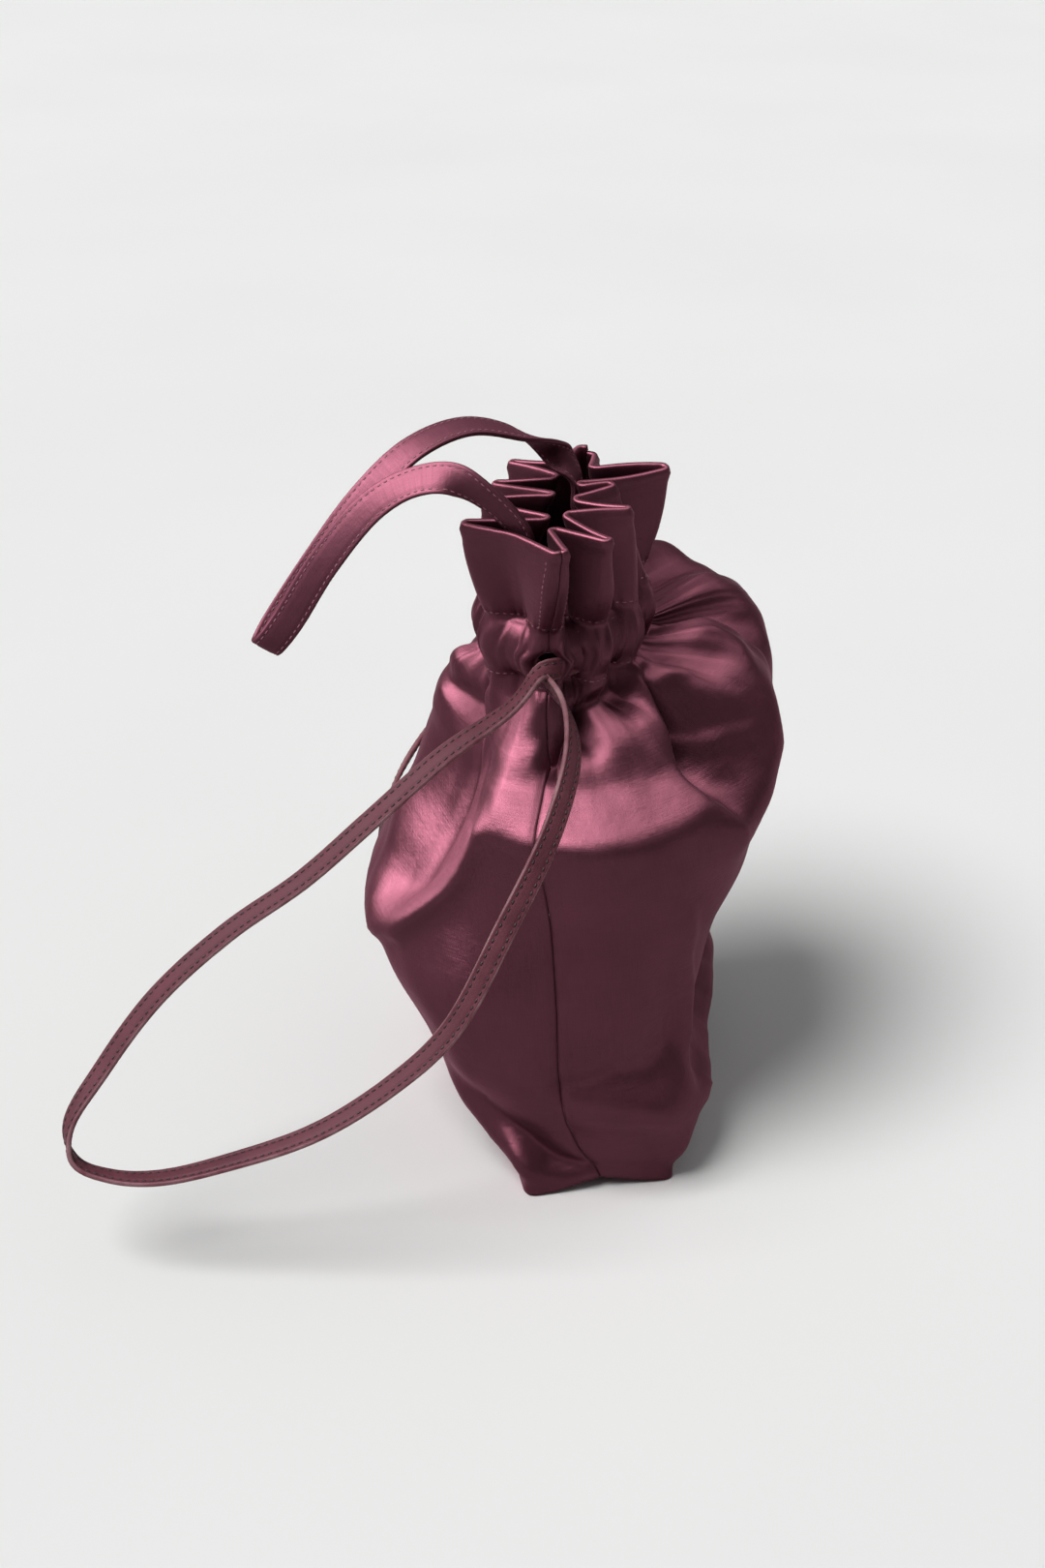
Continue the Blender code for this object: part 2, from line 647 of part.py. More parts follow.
def string_route(seam, level, loop, loop_facing):
    """Route of a drawstring: round the casing, out of one side and back."""
    around = neck_length()
    middle = float(neck_share(np.array([0.0 if seam == "near" else PANEL_WIDTH]))[0])
    exit_point, exit_normal = neck_ring(np.array([middle]))
    exit_point, exit_normal = exit_point[0], exit_normal[0]
    exit_along = np.array([-exit_normal[1], exit_normal[0]])
    turn_in = 0.010
    half_way = around / 2
    shares = np.linspace(half_way - 0.0012, turn_in, 15) / around
    points = []
    normals = []

    def tunnel(share):
        p, n = neck_ring(np.array([middle + share]))
        points.append((p[0][0], p[0][1], level))
        normals.append((n[0][0], n[0][1], 0.0))

    for share in shares:
        tunnel(share)
    side = STRING_THICKNESS / 2 + GAP
    for away, out, sideways in ((0.0052, 0.0009, 0.55), (0.0027, 0.0034, 0.9)):
        p = exit_point + exit_along * away + exit_normal * out
        n = exit_normal * (1 - sideways) + exit_along * -sideways
        points.append((p[0], p[1], level))
        normals.append((n[0], n[1], 0.0))
    p = exit_point + exit_along * (side + 0.0004) + exit_normal * 0.0080
    points.append((p[0], p[1], level))
    normals.append((-exit_along[0], -exit_along[1], 0.0))
    for spot, face in zip(loop, loop_facing):
        points.append(spot)
        normals.append(face)
    p = exit_point - exit_along * (side + 0.0004) + exit_normal * 0.0080
    points.append((p[0], p[1], level))
    normals.append((-exit_along[0], -exit_along[1], 0.0))
    for away, out, sideways in ((0.0027, 0.0034, 0.9), (0.0052, 0.0009, 0.55)):
        p = exit_point - exit_along * away + exit_normal * out
        n = -exit_normal * (1 - sideways) - exit_along * sideways
        points.append((p[0], p[1], level))
        normals.append((n[0], n[1], 0.0))
    for share in shares[::-1]:
        p, n = neck_ring(np.array([middle - share]))
        points.append((p[0][0], p[0][1], level))
        normals.append((-n[0][0], -n[0][1], 0.0))
    return points, normals


# Free loop of the near string, in metres, with the way its face looks.
NEAR_LOOP = (
    (-0.060, 0.027, 0.1775), (-0.070, 0.050, 0.168), (-0.076, 0.074, 0.151),
    (-0.076, 0.096, 0.132), (-0.073, 0.120, 0.114), (-0.072, 0.144, 0.092),
    (-0.074, 0.163, 0.068), (-0.079, 0.1755, 0.050), (-0.084, 0.174, 0.0405),
    (-0.089, 0.163, 0.037), (-0.094, 0.148, 0.038), (-0.100, 0.124, 0.046),
    (-0.106, 0.098, 0.058), (-0.109, 0.074, 0.075), (-0.111, 0.056, 0.094),
    (-0.108, 0.038, 0.127), (-0.098, 0.022, 0.153), (-0.080, 0.012, 0.169),
    (-0.063, 0.0105, 0.177),
)
NEAR_LOOP_FACING = (
    (0.35, -0.75, -0.55), (0.45, -0.30, -0.85), (0.45, -0.10, -0.90),
    (0.45, -0.10, -0.90), (0.50, -0.20, -0.85), (0.50, -0.35, -0.80),
    (0.45, -0.60, -0.65), (0.30, -0.85, -0.10), (0.15, -0.50, 0.75),
    (0.10, -0.10, 0.95), (0.00, 0.25, 0.95), (-0.15, 0.35, 0.90),
    (-0.30, 0.35, 0.85), (-0.45, 0.40, 0.80), (-0.60, 0.35, 0.65),
    (-0.80, 0.10, 0.45), (-0.75, -0.30, 0.55), (-0.45, -0.60, 0.60),
    (-0.15, -0.90, 0.35),
)
# Free loop of the far string.
FAR_LOOP = (
    (0.044, -0.0185, 0.1905), (0.062, -0.0140, 0.184), (0.075, -0.0080, 0.170),
    (0.081, 0.0020, 0.147), (0.076, 0.0175, 0.124), (0.062, 0.0385, 0.108),
    (0.053, 0.0495, 0.096), (0.052, 0.0540, 0.084), (0.065, 0.0545, 0.063),
    (0.090, 0.0500, 0.043), (0.118, 0.0370, 0.031), (0.138, 0.0140, 0.034),
    (0.142, -0.0100, 0.056), (0.128, -0.0260, 0.092), (0.108, -0.0350, 0.130),
    (0.088, -0.0380, 0.164), (0.064, -0.0320, 0.185), (0.045, -0.0240, 0.1905),
)
FAR_LOOP_FACING = (
    (0.40, 0.90, 0.10), (0.30, 0.85, -0.30), (-0.10, 0.60, -0.75),
    (-0.50, 0.10, -0.85), (-0.45, -0.65, -0.60), (-0.25, -0.95, -0.25),
    (-0.20, -0.97, -0.05), (-0.15, -0.97, 0.05), (-0.10, -0.90, 0.35),
    (-0.10, -0.60, 0.75), (-0.30, -0.20, 0.92), (-0.75, 0.00, 0.60),
    (-0.90, 0.15, 0.20), (-0.85, 0.30, 0.30), (-0.70, 0.35, 0.60),
    (-0.45, 0.30, 0.80), (-0.10, 0.50, 0.80), (0.30, 0.85, 0.35),
)
# Handle, from inside the mouth by its far leg to the folded end and back.
HANDLE_ROUTE = (
    (-0.0005, -0.0060, 0.2180), (0.0005, -0.0055, 0.2290), (0.0000, 0.0020, 0.2385),
    (-0.0050, 0.0140, 0.2465), (-0.0100, 0.0320, 0.2520), (-0.0160, 0.0500, 0.2480),
    (-0.0200, 0.0660, 0.2350), (-0.0222, 0.0820, 0.2150), (-0.0245, 0.0955, 0.1965),
    (-0.0262, 0.0992, 0.1912), (-0.0280, 0.1003, 0.1898), (-0.0299, 0.0990, 0.1914),
    (-0.0312, 0.0930, 0.1995), (-0.0330, 0.0810, 0.2190), (-0.0350, 0.0660, 0.2370),
    (-0.0385, 0.0540, 0.2450), (-0.0435, 0.0430, 0.2475), (-0.0455, 0.0340, 0.2430),
)
HANDLE_FACING = (
    (0.42, 0.90, 0.0), (0.42, 0.88, 0.10), (0.20, 0.60, 0.75),
    (-0.15, 0.25, 0.95), (-0.30, 0.20, 0.92), (-0.50, 0.40, 0.75),
    (-0.75, 0.40, 0.50), (-0.90, 0.20, 0.30), (-0.95, 0.15, 0.20),
    (-0.70, 0.60, -0.40), (0.00, 0.65, -0.75), (0.75, 0.45, -0.45),
    (0.97, -0.10, -0.15), (0.90, -0.25, -0.30), (0.75, -0.40, -0.50),
    (0.60, -0.50, -0.62), (0.55, -0.70, -0.45), (0.60, -0.78, -0.10),
)


def inside_header(run, share, inwards):
    """Point inwards of the header's inner layer, with its inward normal."""
    near = header_row(np.array([run - 0.002, run, run + 0.002]), share, 0)
    way = near[2, :2] - near[0, :2]
    way /= np.linalg.norm(way)
    spot = near[1, :2] + np.array([-way[1], way[0]]) * (LAYER_STEP / 2 + inwards)
    return (spot[0], spot[1], near[1, 2]), (-way[1], way[0], 0.0)


def inside_wall(run, z_share, clearance):
    """Point inwards of the casing's gathered inner layer, with its inward normal."""
    point, normal = neck_ring(neck_share(np.array([run])))
    deepest = max(PLEAT_DEPTH_AT_STITCHES + LAYER_STEP / 2, TUNNEL_HALF + PUFF_IN * 0.7)
    sag = HANDLE_WIDTH ** 2 / 8 / (NECK_WIDTH ** 2 / NECK_LENGTH)
    reach = deepest + sag + clearance
    z = NECK_HEIGHT + (CASING_TOP - NECK_HEIGHT) * z_share
    spot = point[0] - normal[0] * reach
    return (spot[0], spot[1], z), (-normal[0][0], -normal[0][1], 0.0)


def handle_route():
    """The handle's route with both ends laid on the inner layer of the casing."""
    off = CLOTH / 2 + HANDLE_THICKNESS / 2 + GAP
    far_run = float(fold_runs(1)[0][7])
    near_run = -float(fold_runs(-1)[0][1])
    points = []
    normals = []
    for share in (0.35, 0.95):
        spot, inward = inside_wall(far_run, share, off)
        points.append(spot)
        normals.append(inward)
    points += list(HANDLE_ROUTE)
    normals += list(HANDLE_FACING)
    for share in (1.0, 0.6, 0.3):
        spot, inward = inside_header(near_run, share, off + HANDLE_PLAY * (2 - share))
        points.append(spot)
        normals.append(inward)
    for share in (1.0, 0.35):
        spot, inward = inside_wall(near_run, share, off)
        points.append(spot)
        normals.append(inward)
    return points, normals


def build():
    clear_scene()
    collection = bpy.data.collections.new("drawstring_pouch")
    bpy.context.scene.collection.children.link(collection)
    satin = material("satin", SATIN, 0.42)
    lining = material("base_satin", SATIN, 0.50)
    leather = material("leather", LEATHER, 0.48)
    panel("front_panel", 1, satin, collection)
    panel("back_panel", -1, satin, collection)
    base(lining, collection)
    spacing = by_bend(0.0035, 0.017, 78)
    points, normals = string_route("near", LOW_STRING, NEAR_LOOP, NEAR_LOOP_FACING)
    ribbon("drawstring_left", points, normals, STRING_WIDTH, STRING_THICKNESS, spacing, leather, collection)
    points, normals = string_route("far", HIGH_STRING, FAR_LOOP, FAR_LOOP_FACING)
    ribbon("drawstring_right", points, normals, STRING_WIDTH, STRING_THICKNESS, spacing, leather, collection)
    points, normals = handle_route()
    handle_spacing = by_bend(0.0015, 0.014, 60)
    ribbon("handle_strap", points, normals, HANDLE_WIDTH, HANDLE_THICKNESS, handle_spacing, satin, collection)


build()
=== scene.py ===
import math

import bmesh
import bpy
import numpy as np
from mathutils import Matrix, Vector


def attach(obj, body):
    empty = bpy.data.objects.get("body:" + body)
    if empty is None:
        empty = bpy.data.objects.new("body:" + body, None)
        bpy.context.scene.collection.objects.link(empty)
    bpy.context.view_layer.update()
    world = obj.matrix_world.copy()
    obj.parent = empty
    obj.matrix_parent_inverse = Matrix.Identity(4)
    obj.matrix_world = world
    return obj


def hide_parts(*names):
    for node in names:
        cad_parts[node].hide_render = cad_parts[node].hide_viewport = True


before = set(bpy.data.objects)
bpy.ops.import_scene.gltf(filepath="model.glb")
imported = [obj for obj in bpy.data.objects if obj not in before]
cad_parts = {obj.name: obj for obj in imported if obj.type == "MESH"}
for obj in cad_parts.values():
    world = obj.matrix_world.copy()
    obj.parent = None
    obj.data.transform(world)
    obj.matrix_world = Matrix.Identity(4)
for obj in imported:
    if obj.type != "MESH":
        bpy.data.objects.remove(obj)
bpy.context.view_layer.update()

# Sizes, in metres, as the model has them
CLOTH = 0.0008
GAP = 0.0003
LAYER_STEP = CLOTH + 0.00035
BASE_LENGTH = 0.158
BASE_WIDTH = 0.052
BASE_CORNER = 0.004
STRING_WIDTH = 0.007
STRING_THICKNESS = 0.0018
STRING_PLAY = 0.0009
HANDLE_WIDTH = 0.010
HANDLE_THICKNESS = 0.002
HANDLE_PLAY = 0.0012
NECK_HEIGHT = 0.176
HEADER_HEIGHT = 0.034
PLEAT_DEPTH_AT_STITCHES = 0.0038
PUFF_OUT = 0.0040
PUFF_IN = 0.0028
HEM_BELOW_CASING = 0.0035
PANEL_WIDTH = BASE_LENGTH + BASE_WIDTH
GIRTH = 2 * PANEL_WIDTH
PER_MILLE = PANEL_WIDTH / 1000
TUNNEL_HALF = STRING_THICKNESS / 2 + STRING_PLAY + CLOTH / 2 + 0.0004
LOW_STRING = NECK_HEIGHT + 0.0026 + STRING_WIDTH / 2
HIGH_STRING = LOW_STRING + STRING_WIDTH + 0.0007
CASING_TOP = HIGH_STRING + STRING_WIDTH / 2 + 0.0026
OPENING_HALF = STRING_THICKNESS + 0.0012
OPENING_REACH = 0.016
# Shares of the casing's height: where the low opening ends and the high one starts, and the
# height of the change
OPENING_SPANS = (0.42, 0.36, 0.22)
TUNNEL_ROUND = 0.55
FOLD_FLAT = 0.0032
SEAM_FLAT = 0.0048
FOLD_ROUNDING = 0.0013

# The cloth's grid
COLUMN_STEP = 0.0010
BODY_ROWS = 118
CASING_ROWS = 16
HEADER_ROWS = 22

# Rings of the body: height share, centre x and y, half length and half width in
# thousandths of PANEL_WIDTH, turn, squareness, rise
RINGS = (
    (0.000, 0, 0, 376, 124, 0, 8.0, 0.00),
    (0.125, -24, -62, 368, 242, -12, 3.8, 0.00),
    (0.273, -30, -6, 376, 234, -11, 2.9, 0.00),
    (0.443, -36, 26, 346, 291, -11, 2.5, 0.00),
    (0.614, -40, -18, 334, 298, -19, 2.3, 0.03),
    (0.784, -40, -62, 350, 274, -29, 2.2, 0.09),
    (0.905, -28, -66, 372, 238, -29, 2.2, 0.18),
    (0.965, -34, -34, 304, 190, -27, 2.1, 0.17),
    (1.000, -42, 0, 168, 108, -25, 2.0, 0.00),
)
RISE_WAY = (0.77, -0.64)
# Ring level up to which the outline still changes from the base's rectangle
BASE_BLEND = 1.4
# Share of an outline's length over which its normals are measured, to each side
NORMAL_REACH = 0.004
NECK_X, NECK_Y, NECK_LENGTH, NECK_WIDTH = (value * PER_MILLE for value in RINGS[-1][1:5])
NECK_TURN = math.radians(RINGS[-1][5])
TOP_LEVEL = float(len(RINGS) - 1)
# Length of the cloth up the body's side, as a multiple of its height
SIDE_LENGTH_RATIO = 1.15

# Fold lines of the mouth, in thousandths of PANEL_WIDTH along and across the neck
FRONT_FOLDS = (
    (-267, -57), (-178, -22), (-192, -112), (-116, -26), (-62, -112), (-26, -22),
    (34, -66), (22, -18), (124, -134), (100, -22), (172, 4),
)
BACK_FOLDS = (
    (-267, -57), (-217, 28), (-182, 110), (-128, -4), (-76, 104), (-40, 8), (12, 116),
    (44, 22), (98, 112), (108, 28), (172, 4),
)

# How evenly the folds are spread round the neck, from 0 where they point to 1
EVEN_SHARE = 0.55

# Folds of the body: depth in mm, breadth in mm to the left and to the right of the way the
# path runs, and the path. Each of its points is a place in the cloth in mm from the near
# seam (front side positive), a ring level, and the share of the depth there.
BODY_FOLDS = (
    # Left: the shelf's edge, which runs up into the tongue's edge, and the hollow under it
    (4.4, 4, 14, ((-24, 5.4, 0.3), (-25, 4.9, 0.6), (-31, 4.45, 1), (-38, 4.15, 1), (-49, 3.75, 1),
                  (-58, 3.45, 1), (-74, 3.2, 1), (-88, 3.2, 0.5))),
    (-3.0, 12, 9, ((-14, 5.0, 0.2), (-20, 4.4, 0.8), (-30, 3.9, 1), (-44, 3.4, 1), (-62, 3.1, 0.8),
                   (-84, 2.9, 0.3))),
    (3.0, 13, 3.5, ((-37, 7.9, 0.7), (-41, 7.3, 1), (-37, 6.8, 1), (-29, 6.4, 1), (-25, 5.9, 1),
                    (-24, 5.4, 0.7))),
    # Left: the hollow under the casing and the swelling beside it
    (-6.0, 6, 7, ((-44, 7.6, 0.7), (-60, 7.2, 1), (-78, 6.85, 1), (-90, 6.65, 0.4))),
    (2.2, 9, 14, ((-54, 6.4, 0.8), (-70, 6.2, 1), (-84, 5.9, 0.5))),
    # Pocket under the casing, which narrows to a hole beside the seam
    (-9.0, 11, 9, ((74, 7.8, 0.7), (60, 7.7, 1), (46, 7.6, 1), (34, 7.45, 1), (23, 7.2, 1))),
    (-8.0, 5, 5, ((26, 7.2, 0.8), (14, 7.0, 1), (7, 6.8, 1), (3, 6.5, 0.9))),
    # Bulge under the pocket
    (1.2, 12, 28, ((72, 6.9, 0.8), (54, 6.5, 1), (38, 6.1, 1), (22, 5.9, 0.8), (8, 5.8, 0.3))),
    # The bulge's edge, the crease behind it and its point
    (3.4, 3, 14, ((82, 7.9, 0.6), (77, 7.4, 1), (74, 7.0, 1), (71, 6.6, 1), (66, 6.2, 1), (63, 5.8, 1),
                  (65, 5.4, 0.9), (69, 5.1, 0.6))),
    (-4.6, 11, 3.5, ((90, 7.7, 0.6), (83, 7.2, 1), (78, 6.7, 1), (73, 6.3, 1), (70, 5.9, 1), (71, 5.4, 1),
                     (75, 5.0, 0.9))),
    (-2.6, 9, 9, ((88, 6.4, 0.8), (90, 5.8, 1), (86, 5.3, 0.8))),
    # Curved ridge round the facet, the facet's faint crease and the pucker above it
    (6.5, 9, 9, ((134, 7.8, 0.5), (117, 7.5, 0.9), (114, 7.1, 1), (112, 6.6, 1), (109, 6.1, 1),
                 (109, 5.6, 1), (107, 5.15, 1), (97, 4.85, 0.9), (84, 4.7, 0.9), (75, 4.65, 0.8))),
    (1.8, 3, 4, ((76, 6.4, 0.8), (84, 6.0, 1), (96, 5.6, 0.6))),
    (-4.6, 6, 6, ((120, 7.85, 0.8), (108, 7.65, 1), (100, 7.45, 0.7))),
    (2.0, 5, 5, ((98, 7.2, 0.7), (90, 7.25, 1))),
    # Ridge and hollow of the far shoulder
    (-5.0, 8, 8, ((158, 7.8, 0.8), (146, 7.4, 1), (134, 6.9, 0.9), (128, 6.4, 0.4))),
    (3.6, 12, 6, ((192, 7.5, 0.6), (172, 7.4, 1), (160, 7.0, 1), (148, 6.4, 1), (140, 5.7, 0.5))),
    (-3.0, 10, 10, ((198, 7.2, 0.8), (182, 6.6, 1), (170, 5.8, 0.6))),
    # Back of the pouch
    (3.4, 14, 14, ((-108, 7.3, 1), (-104, 6.2, 1), (-98, 5.0, 0.6))),
    (-5.0, 10, 12, ((-128, 7.5, 1), (-132, 6.2, 1), (-138, 4.8, 1), (-134, 3.8, 0.5))),
    (3.6, 12, 12, ((-152, 7.2, 1), (-156, 6.0, 1), (-160, 4.6, 0.5))),
    (-4.2, 10, 10, ((-176, 7.5, 1), (-178, 6.2, 1), (-174, 5.0, 0.4))),
    (3.0, 8, 20, ((-110, 3.1, 0.4), (-132, 2.7, 1), (-156, 2.7, 1), (-180, 3.0, 0.3))),
    (-2.6, 14, 14, ((-110, 1.6, 0.5), (-140, 1.4, 1), (-170, 1.6, 0.5))),
    # Front of the pouch
    (-3.6, 12, 12, ((110, 4.0, 0.5), (124, 3.5, 1), (144, 3.2, 1), (164, 3.2, 0.4))),
    (2.6, 14, 10, ((118, 2.7, 0.5), (138, 2.4, 1), (160, 2.5, 0.4))),
    (-2.4, 12, 12, ((104, 1.3, 0.6), (130, 1.0, 1), (166, 1.2, 0.5))),
    # Right, low: the flat side, the hollow and the lit slope under it
    (-8.0, 17, 17, ((72, 2.9, 0.4), (78, 2.4, 0.8), (88, 1.95, 1), (104, 1.8, 1), (120, 1.9, 0.6))),
    (-7.0, 12, 14, ((47, 1.2, 0.6), (55, 1.5, 0.9), (62, 1.5, 1), (72, 1.35, 1), (86, 1.3, 0.8))),
    (-4.5, 14, 14, ((98, 2.6, 0.6), (112, 2.15, 1), (126, 1.9, 0.8))),
    (-4.4, 8, 11, ((47, 3.1, 0.2), (45, 2.6, 0.8), (41, 2.25, 1), (32, 2.05, 1), (20, 2.1, 0.8),
                   (8, 2.05, 0.4))),
    (2.4, 4, 7, ((48, 3.9, 0.4), (49, 3.3, 1), (52, 2.7, 1), (54, 2.2, 1), (50, 1.8, 0.8))),
    (3.0, 9, 8, ((4, 1.55, 0.4), (16, 1.5, 1), (30, 1.45, 1), (40, 1.5, 0.6))),
    (3.0, 8, 8, ((50, 0.85, 0.8), (42, 0.8, 1), (32, 0.6, 0.8))),
    # Kink at the seam, the arch over the near toe, and the toe's flank
    (-1.8, 3, 5, ((0, 1.95, 1), (8, 1.98, 0.9), (18, 2.1, 0.4))),
    (-4.6, 7, 6, ((-44, 1.5, 0.5), (-33, 1.4, 1), (-26, 1.2, 1), (-18, 0.95, 1), (-12, 0.6, 1),
                  (-5, 0.3, 0.6))),
    (3.6, 9, 8, ((-28, 0.5, 0.6), (-38, 0.7, 1), (-48, 0.9, 0.8))),
)
# How far the near seam wanders along the cloth's outline, in mm at each ring level
SEAM_WANDER = ((0, 0), (1, -7), (2, -2), (3, 3), (4, 1.5), (5, 0), (6, -5), (7, -5), (8, 0))
SEAM_WANDER_BREADTH = 0.036
# Slope of the near shoulder: the cloth runs straight from the neck down to this ring level,
# given for places in the cloth in mm
SLOPE_FOOT = (
    (-90, 2.9), (-70, 3.0), (-58, 3.2), (-49, 3.45), (-37, 3.8), (-31, 4.05), (-24, 4.4), (-14, 4.55),
    (0, 4.6), (20, 4.55), (45, 4.5), (60, 4.5), (70, 4.5), (90, 4.6),
)
# Places in mm where the slope sets in and is full, at its left and at its right
SLOPE_REACH = (-84, -52, 72, 100)
# The slope's left part: the place in mm where it begins, and the breadth of the change
SLOPE_LEFT = (-16, 18)
# How hollow the slope is, and over how many ring levels it sets in, for its right and left part
SLOPE_HOLLOW = (0.05, 1.35)
SLOPE_SOFT = (1.7, 0.9)
# Grid of plain body points that the slope is measured on
PLAIN_REACH = 0.130
PLAIN_FROM = 3.0
# Gathers under the casing by ring level: their share of the pleats' depth, and how far they
# go up and outwards with it
GATHER_FROM = 4.6
GATHER_DEPTH = ((0, 0), (3.5, 0), (4.5, 0.05), (5.5, 0.22), (6.4, 0.65), (7.2, 1.05), (8.0, 1.0))
GATHER_LIFT = ((0, 0), (5.0, 0), (6.4, 0.55), (7.2, 0.85), (8.0, 0))
GATHER_OUT = ((0, 1.0), (5.0, 1.0), (6.4, 0.85), (7.2, 0.65), (8.0, 1.0))
# Where the near shoulder lies calm: its ends in the cloth and the breadth of the change, and
# the share taken off the gathers, below which ring level, and over how many levels
NEAR_SHOULDER = (-0.060, 0.090, 0.015)
CALM_GATHERS = (0.85, 7.75, 0.9)
CALM_FINE = (0.8, 7.9, 0.5)
# Heights of the small forms
BODY_RIPPLE = 0.00030
FINE_GATHER = 0.00042
CASING_CRINKLE = 0.00045
CASING_SWAY = 0.0005
HEADER_BELLY = 0.0010
HEADER_SWAY = 0.00045
HEADER_PINCH = 0.00035
HEADER_TOP_WAVE = 0.0009
HEADER_TOP_DROP = 0.0006
RIM_ROLL = 0.0007
SEAM_GROOVE = 0.0008
SEAM_GROOVE_BREADTH = 0.0016
FOOT_ARCH = 0.0042
FOOT_ARCH_REACH = 0.013125

# Free loop of the near string, in mm, with the way its face looks, in hundredths
NEAR_LOOP = (
    (-60, 27, 177.5), (-70, 50, 168), (-76, 74, 151), (-76, 96, 132),
    (-73, 120, 114), (-72, 144, 92), (-74, 163, 68), (-79, 175.5, 50),
    (-84, 174, 40.5), (-89, 163, 37), (-94, 148, 38), (-100, 124, 46),
    (-106, 98, 58), (-109, 74, 75), (-111, 56, 94), (-108, 38, 127),
    (-98, 22, 153), (-80, 12, 169), (-63, 10.5, 177),
)
NEAR_LOOP_FACING = (
    (35, -75, -55), (45, -30, -85), (45, -10, -90), (45, -10, -90), (50, -20, -85),
    (50, -35, -80), (45, -60, -65), (30, -85, -10), (15, -50, 75), (10, -10, 95),
    (0, 25, 95), (-15, 35, 90), (-30, 35, 85), (-45, 40, 80), (-60, 35, 65),
    (-80, 10, 45), (-75, -30, 55), (-45, -60, 60), (-15, -90, 35),
)
# Free loop of the far string
FAR_LOOP = (
    (44, -18.5, 190.5), (62, -14, 184), (75, -8, 170), (81, 2, 147),
    (76, 17.5, 124), (62, 38.5, 108), (53, 49.5, 96), (52, 54, 84),
    (65, 54.5, 63), (90, 50, 43), (118, 37, 31), (138, 14, 34),
    (142, -10, 56), (128, -26, 92), (108, -35, 130), (88, -38, 164),
    (64, -32, 185), (45, -24, 190.5),
)
FAR_LOOP_FACING = (
    (40, 90, 10), (30, 85, -30), (-10, 60, -75), (-50, 10, -85), (-45, -65, -60),
    (-25, -95, -25), (-20, -97, -5), (-15, -97, 5), (-10, -90, 35), (-10, -60, 75),
    (-30, -20, 92), (-75, 0, 60), (-90, 15, 20), (-85, 30, 30), (-70, 35, 60),
    (-45, 30, 80), (-10, 50, 80), (30, 85, 35),
)
# How a string's two ends pass its opening: metres along the casing, out of it and up, and
# the facing's parts outwards, sideways and upwards. The first end crosses flat in front of
# the opening, and the second one leaves under it
STRING_CROSSING = (
    (0.0058, 0.0006, 0.0, 1.00, 0.05, 0.00), (0.0026, 0.0030, 0.0003, 0.90, 0.20, 0.15),
    (-0.0022, 0.0062, 0.0002, 0.70, 0.50, 0.30),
)
STRING_LEAVING = (
    (0.0010, 0.0052, -0.0030, -0.10, 1.00, -0.10), (0.0034, 0.0026, -0.0010, -0.50, 0.80, 0.00),
    (0.0060, 0.0006, 0.0, -1.00, 0.20, 0.00),
)
STRING_TURN_IN = 0.010
STRING_END_GAP = 0.0012
# Handle, from inside the mouth by its far leg to the folded end and back, in mm
HANDLE_ROUTE = (
    (-0.5, -6, 218), (0.5, -5.5, 229), (0, 2, 238.5), (-5, 14, 246.5),
    (-10, 32, 252), (-16, 50, 248), (-20, 66, 235), (-22.2, 82, 215),
    (-24.5, 95.5, 196.5), (-26.2, 99.2, 191.2), (-28, 100.3, 189.8), (-29.9, 99, 191.4),
    (-31.2, 93, 199.5), (-33, 81, 219), (-35, 66, 237), (-38.5, 54, 245),
    (-43.5, 43, 247.5), (-45.5, 34, 243),
)
HANDLE_FACING = (
    (42, 90, 0), (42, 88, 10), (20, 60, 75), (-15, 25, 95), (-30, 20, 92),
    (-50, 40, 75), (-75, 40, 50), (-90, 20, 30), (-95, 15, 20), (-70, -40, 60),
    (0, -57, 82), (75, -35, 50), (97, -10, -15), (90, -25, -30), (75, -40, -50),
    (60, -50, -62), (55, -70, -45), (60, -78, -10),
)
HANDLE_FAR_FOLD = 7
HANDLE_NEAR_FOLD = 1

# Colours, linear
SATIN = (0.092, 0.0282, 0.0415)
SATIN_DEEP = (0.0695, 0.0208, 0.031)
# Handle strap: the body's satin made darker all over, as painted shade; it takes SATIN_DEEP as its colour and
# this as its deeper tone
STRAP_DEEP_PAINTED_SHADE = (0.056, 0.017, 0.026)
SATIN_THREAD = (0.300, 0.110, 0.150)
LEATHER = (0.120, 0.036, 0.048)
LEATHER_DEEP = (0.078, 0.022, 0.031)
LEATHER_EDGE = (0.260, 0.150, 0.160)
LEATHER_THREAD = (0.040, 0.016, 0.021)
FLOOR = (0.640, 0.645, 0.638)

# Sewing: stitch length with its space, and how far the rows lie from the middle or edge
STRING_PITCH = 0.0027
STRING_STITCH_AT = 0.0019
HANDLE_PITCH = 0.0024
HANDLE_STITCH_AT = 0.0036
SATIN_PITCH = 0.0024
HEM_STITCH_AT = 0.0045
FURROW_BREADTH = 0.00045
# Beads of thread: how deep they are sunk, their length and their breadth
STRING_BEAD = (0.00012, STRING_PITCH * 0.70, 0.00058)
HANDLE_BEAD = (0.00010, HANDLE_PITCH * 0.72, 0.00042)
SATIN_BEAD = (0.00006, SATIN_PITCH * 0.66, 0.00042)
# Depth of the furrows along the stitches, height of the faces' crown, and for the handle the
# depth of the furrow along its folded edges
STRING_FORM = (0.00022, 0.00006)
HANDLE_FORM = (0.00026, 0.00018, 0.00045)
HANDLE_UNSEWN_END = 0.012
# Thickness that shows, beside the room that is kept for each piece
STRING_SHOWN = STRING_THICKNESS * 0.92
HANDLE_SHOWN = HANDLE_THICKNESS * 0.82
CLOTH_SHOWN = CLOTH * 0.6
BASE_SHOWN = CLOTH * 0.5
# Points along a strap's fine route, and how many are averaged for its way and for its facing
ROUTE_POINTS = 6000
ROUTE_SOFT = 45
FACING_SOFT = 60
STRING_STEP = 0.0016
HANDLE_STEP = 0.0011

